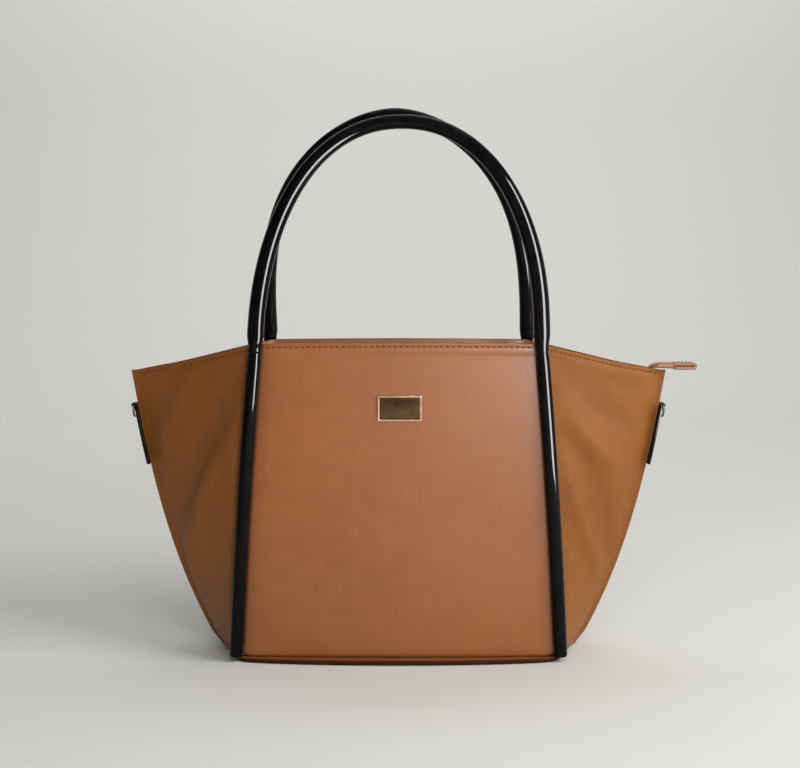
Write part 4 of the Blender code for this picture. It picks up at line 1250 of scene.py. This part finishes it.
def nameplate():
    """A bare metal plate: a raised polished rim round a sunk, darker face."""
    profile = (
        (0.25, 0.0, 0.7), (0.0, 0.25, 0.9), (0.0, 0.95, 0.9), (0.18, 1.32, 0.8), (0.5, 1.5, 0.6),
        (1.15, 1.5, 0.4), (1.45, 1.35, 0.3), (1.6, 1.0, 0.2), (1.6, 0.7, 0.2),
    )
    loops = [plate_loop(a * MM, b * MM, c * MM) for a, b, c in profile]
    columns, rows = 22, 12
    inset = 1.75 * MM
    points = []
    for fz in [2 * j / rows - 1 for j in range(rows + 1)]:
        row = []
        for fx in [2 * i / columns - 1 for i in range(columns + 1)]:
            dome = 0.22 * MM * (1 - fx * fx) * (1 - fz * fz)
            row.append((fx * (PLATE_WIDTH / 2 - inset), -0.78 * MM - dome, fz * (PLATE_HEIGHT / 2 - inset)))
        points.append(row)
    face = edited(from_grid("nameplate_face", points), outward)
    low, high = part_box("nameplate")
    z = (low.z + high.z) / 2
    back = panel_surface(0.5, level_at(z), 1).y - 0.1 * MM
    tilt = math.atan2((RIM_DEPTH - BASE_DEPTH) / 2, TALL)
    place = Matrix.Translation((PLATE_SHIFT, back, z)) @ Matrix.Rotation(tilt, 4, "X")
    obj = ringed("nameplate_rim", loops, PLATE_RIM, 50)
    obj.data.transform(place)
    settle(obj, "bag", "gold_metal", "nameplate")
    face.transform(place)
    obj = mesh_object("nameplate_face", face, BRONZE)
    shelled(obj, 0.3 * MM)
    settle(baked(obj), "bag", "gold_metal")


def hardware():
    """The tabs, slider and puller with soft edges, and the looks of the CAD pieces that stay as they are."""
    for node in ("right_tab", "left_tab"):
        softened(node, 0.55 * MM, 3, PATENT_STRAP, "bag", "black_patent")
    softened("zip_slider", 0.12 * MM, 2, GOLD, "zip_slider", "gold_metal")
    softened("zip_puller", 0.35 * MM, 3, GOLD, "zip_puller", "gold_metal")
    for node, obj in frame["nodes"].items():
        for word, finish in (("teeth", GOLD), ("stop", GOLD), ("_core", ROPE), ("base_board", BOARD)):
            if word in node:
                obj.data.materials.clear()
                obj.data.materials.append(finish)


# Studio


# The floor tone is darker than the backdrop tone as painted shade.
FLOOR_TONE = (0.60, 0.595, 0.575)
BACKDROP_TONE = (0.70, 0.695, 0.675)
CLOUD_TONE = (0.72, 0.715, 0.69)
WARM = (1, 0.98, 0.95)
ROOM_HALF_WIDTH = 3.5
ROOM_FRONT = -3.0
ROOM_BACK = 2.8
ROOM_HEIGHT = 3.2
ROOM_COVE = 0.9
ROOM_CORNER = 1.6
FLOOR_DROP = 0.2 * MM


def area_light(name, place, target, width, height, power, colour=(1, 1, 1)):
    light = bpy.data.lights.new(name, "AREA")
    with_settings(light, shape="RECTANGLE", size=width, size_y=height, energy=power, color=colour)
    obj = placed(name, light)
    obj.location = place
    obj.rotation_euler = (Vector(target) - Vector(place)).to_track_quat("-Z", "Y").to_euler()
    obj.visible_camera = False
    return obj


def linked(light, objects, state):
    """Lets a light shine on these pieces only, or on everything but them."""
    group = bpy.data.collections.new(light.name + "_pieces")
    for obj in objects:
        group.objects.link(obj)
    light.light_linking.receiver_collection = group
    for item in group.collection_objects:
        item.light_linking.link_state = state


def room_loop(inset, z):
    """The studio's wall line in plan, with round corners, this far inside the wall and at this height."""
    half_depth, middle = (ROOM_BACK - ROOM_FRONT) / 2, (ROOM_BACK + ROOM_FRONT) / 2
    line = round_box(ROOM_HALF_WIDTH - inset, half_depth - inset, ROOM_CORNER - inset, 9)
    return [(x, middle + y, z - FLOOR_DROP) for x, y in line]


def paper():
    """Pale paper with painted shade: darker over the floor at the front, lighter towards the back of the
    room.
    """
    made = Finish("paper_sweep", 0.9, Specular_IOR_Level=0.05)
    tone = made.clouds(2.0, 2, 0.5)
    depth = made.node("SeparateXYZ", {0: made.place()}).outputs["Y"]
    ground = made.mix(made.span(depth, -0.5, 1.8), FLOOR_TONE, BACKDROP_TONE)
    made.colour(made.span(tone, 0.3, 0.7, 0.0, 0.12), ground, CLOUD_TONE)
    return made.material


def room():
    """A pale seamless room, open at its top."""
    profile = [(ROOM_COVE + 0.1, 0.0), (ROOM_COVE, 0.0)]
    for turn in np.linspace(0, math.pi / 2, 13)[1:]:
        profile.append((ROOM_COVE * (1 - math.sin(turn)), ROOM_COVE * (1 - math.cos(turn))))
    profile.append((0.0, ROOM_HEIGHT))
    sweep = ringed("studio_sweep", [room_loop(inset, z) for inset, z in profile], paper(), last=False)
    return sweep


def studio():
    """A room with a tall narrow key from the right, a high main light and a dim fill from the left."""
    sweep = room()
    world = bpy.data.worlds.new("studio")
    world.use_nodes = True
    sky = world.node_tree.nodes["Background"].inputs
    sky["Color"].default_value = (0.97, 0.98, 1.0, 1)
    sky["Strength"].default_value = 0.05
    bpy.context.scene.world = world
    strip_at, strip_to = (0.33, -0.33, 0.46), (-0.02, -0.06, 0.46)
    strip = area_light("key_strip", strip_at, strip_to, 0.21, 0.74, 32, (1, 0.99, 0.97))
    key = area_light("key_side", (1.25, -0.35, 0.74), (0, 0, 0.20), 0.30, 1.40, 8.0, WARM)
    main = area_light("main_right", (1.30, -0.90, 1.20), (0, 0, 0.16), 0.60, 0.60, 16.2, WARM)
    front = area_light("main_front", (0.35, -1.60, 1.10), (0, 0, 0.16), 0.60, 0.50, 3, WARM)
    sheen = area_light("sheen", (0.32, -1.05, 0.30), (0.10, 0, 0.22), 0.20, 0.20, 4.5, WARM)
    area_light("left_fill", (-1.35, -0.85, 0.55), (0, 0, 0.22), 0.45, 0.9, 0.7)
    area_light("overhead", (0.1, -0.1, 2.6), (0.1, 0.3, 0), 1.8, 1.6, 6)
    area_light("backdrop", (0.1, 1.1, 2.6), (0.1, 2.9, 0.7), 3.4, 0.8, 51)
    floor = area_light("floor_front", (0.18, -1.1, 0.8), (-0.06, -0.4, 0), 0.9, 0.6, 6.6, (0.90, 0.97, 1))
    glossy = [obj for obj in bpy.data.objects if obj.active_material in (PATENT, PATENT_STRAP)]
    linked(strip, glossy, "INCLUDE")
    linked(floor, [sweep], "INCLUDE")
    for light in (key, main, front):
        linked(light, glossy, "EXCLUDE")
    linked(sheen, glossy + [sweep], "EXCLUDE")


def camera():
    data = bpy.data.cameras.new("photo_view")
    with_settings(data, lens=59.2, sensor_width=36, sensor_fit="HORIZONTAL", clip_start=0.05)
    obj = placed("photo_view", data)
    obj.location = (0.00114, -1.052, 0.283)
    obj.rotation_euler = (math.radians(90 - 3.87), 0, 0)
    bpy.context.scene.camera = obj


panels()
wings()
base()
facings()
lining()
legs()
handles()
zip_parts()
tail_sleeve()
tail_tab()
rings()
nameplate()
hardware()
studio()
camera()
bpy.context.scene.view_settings.view_transform = "Standard"
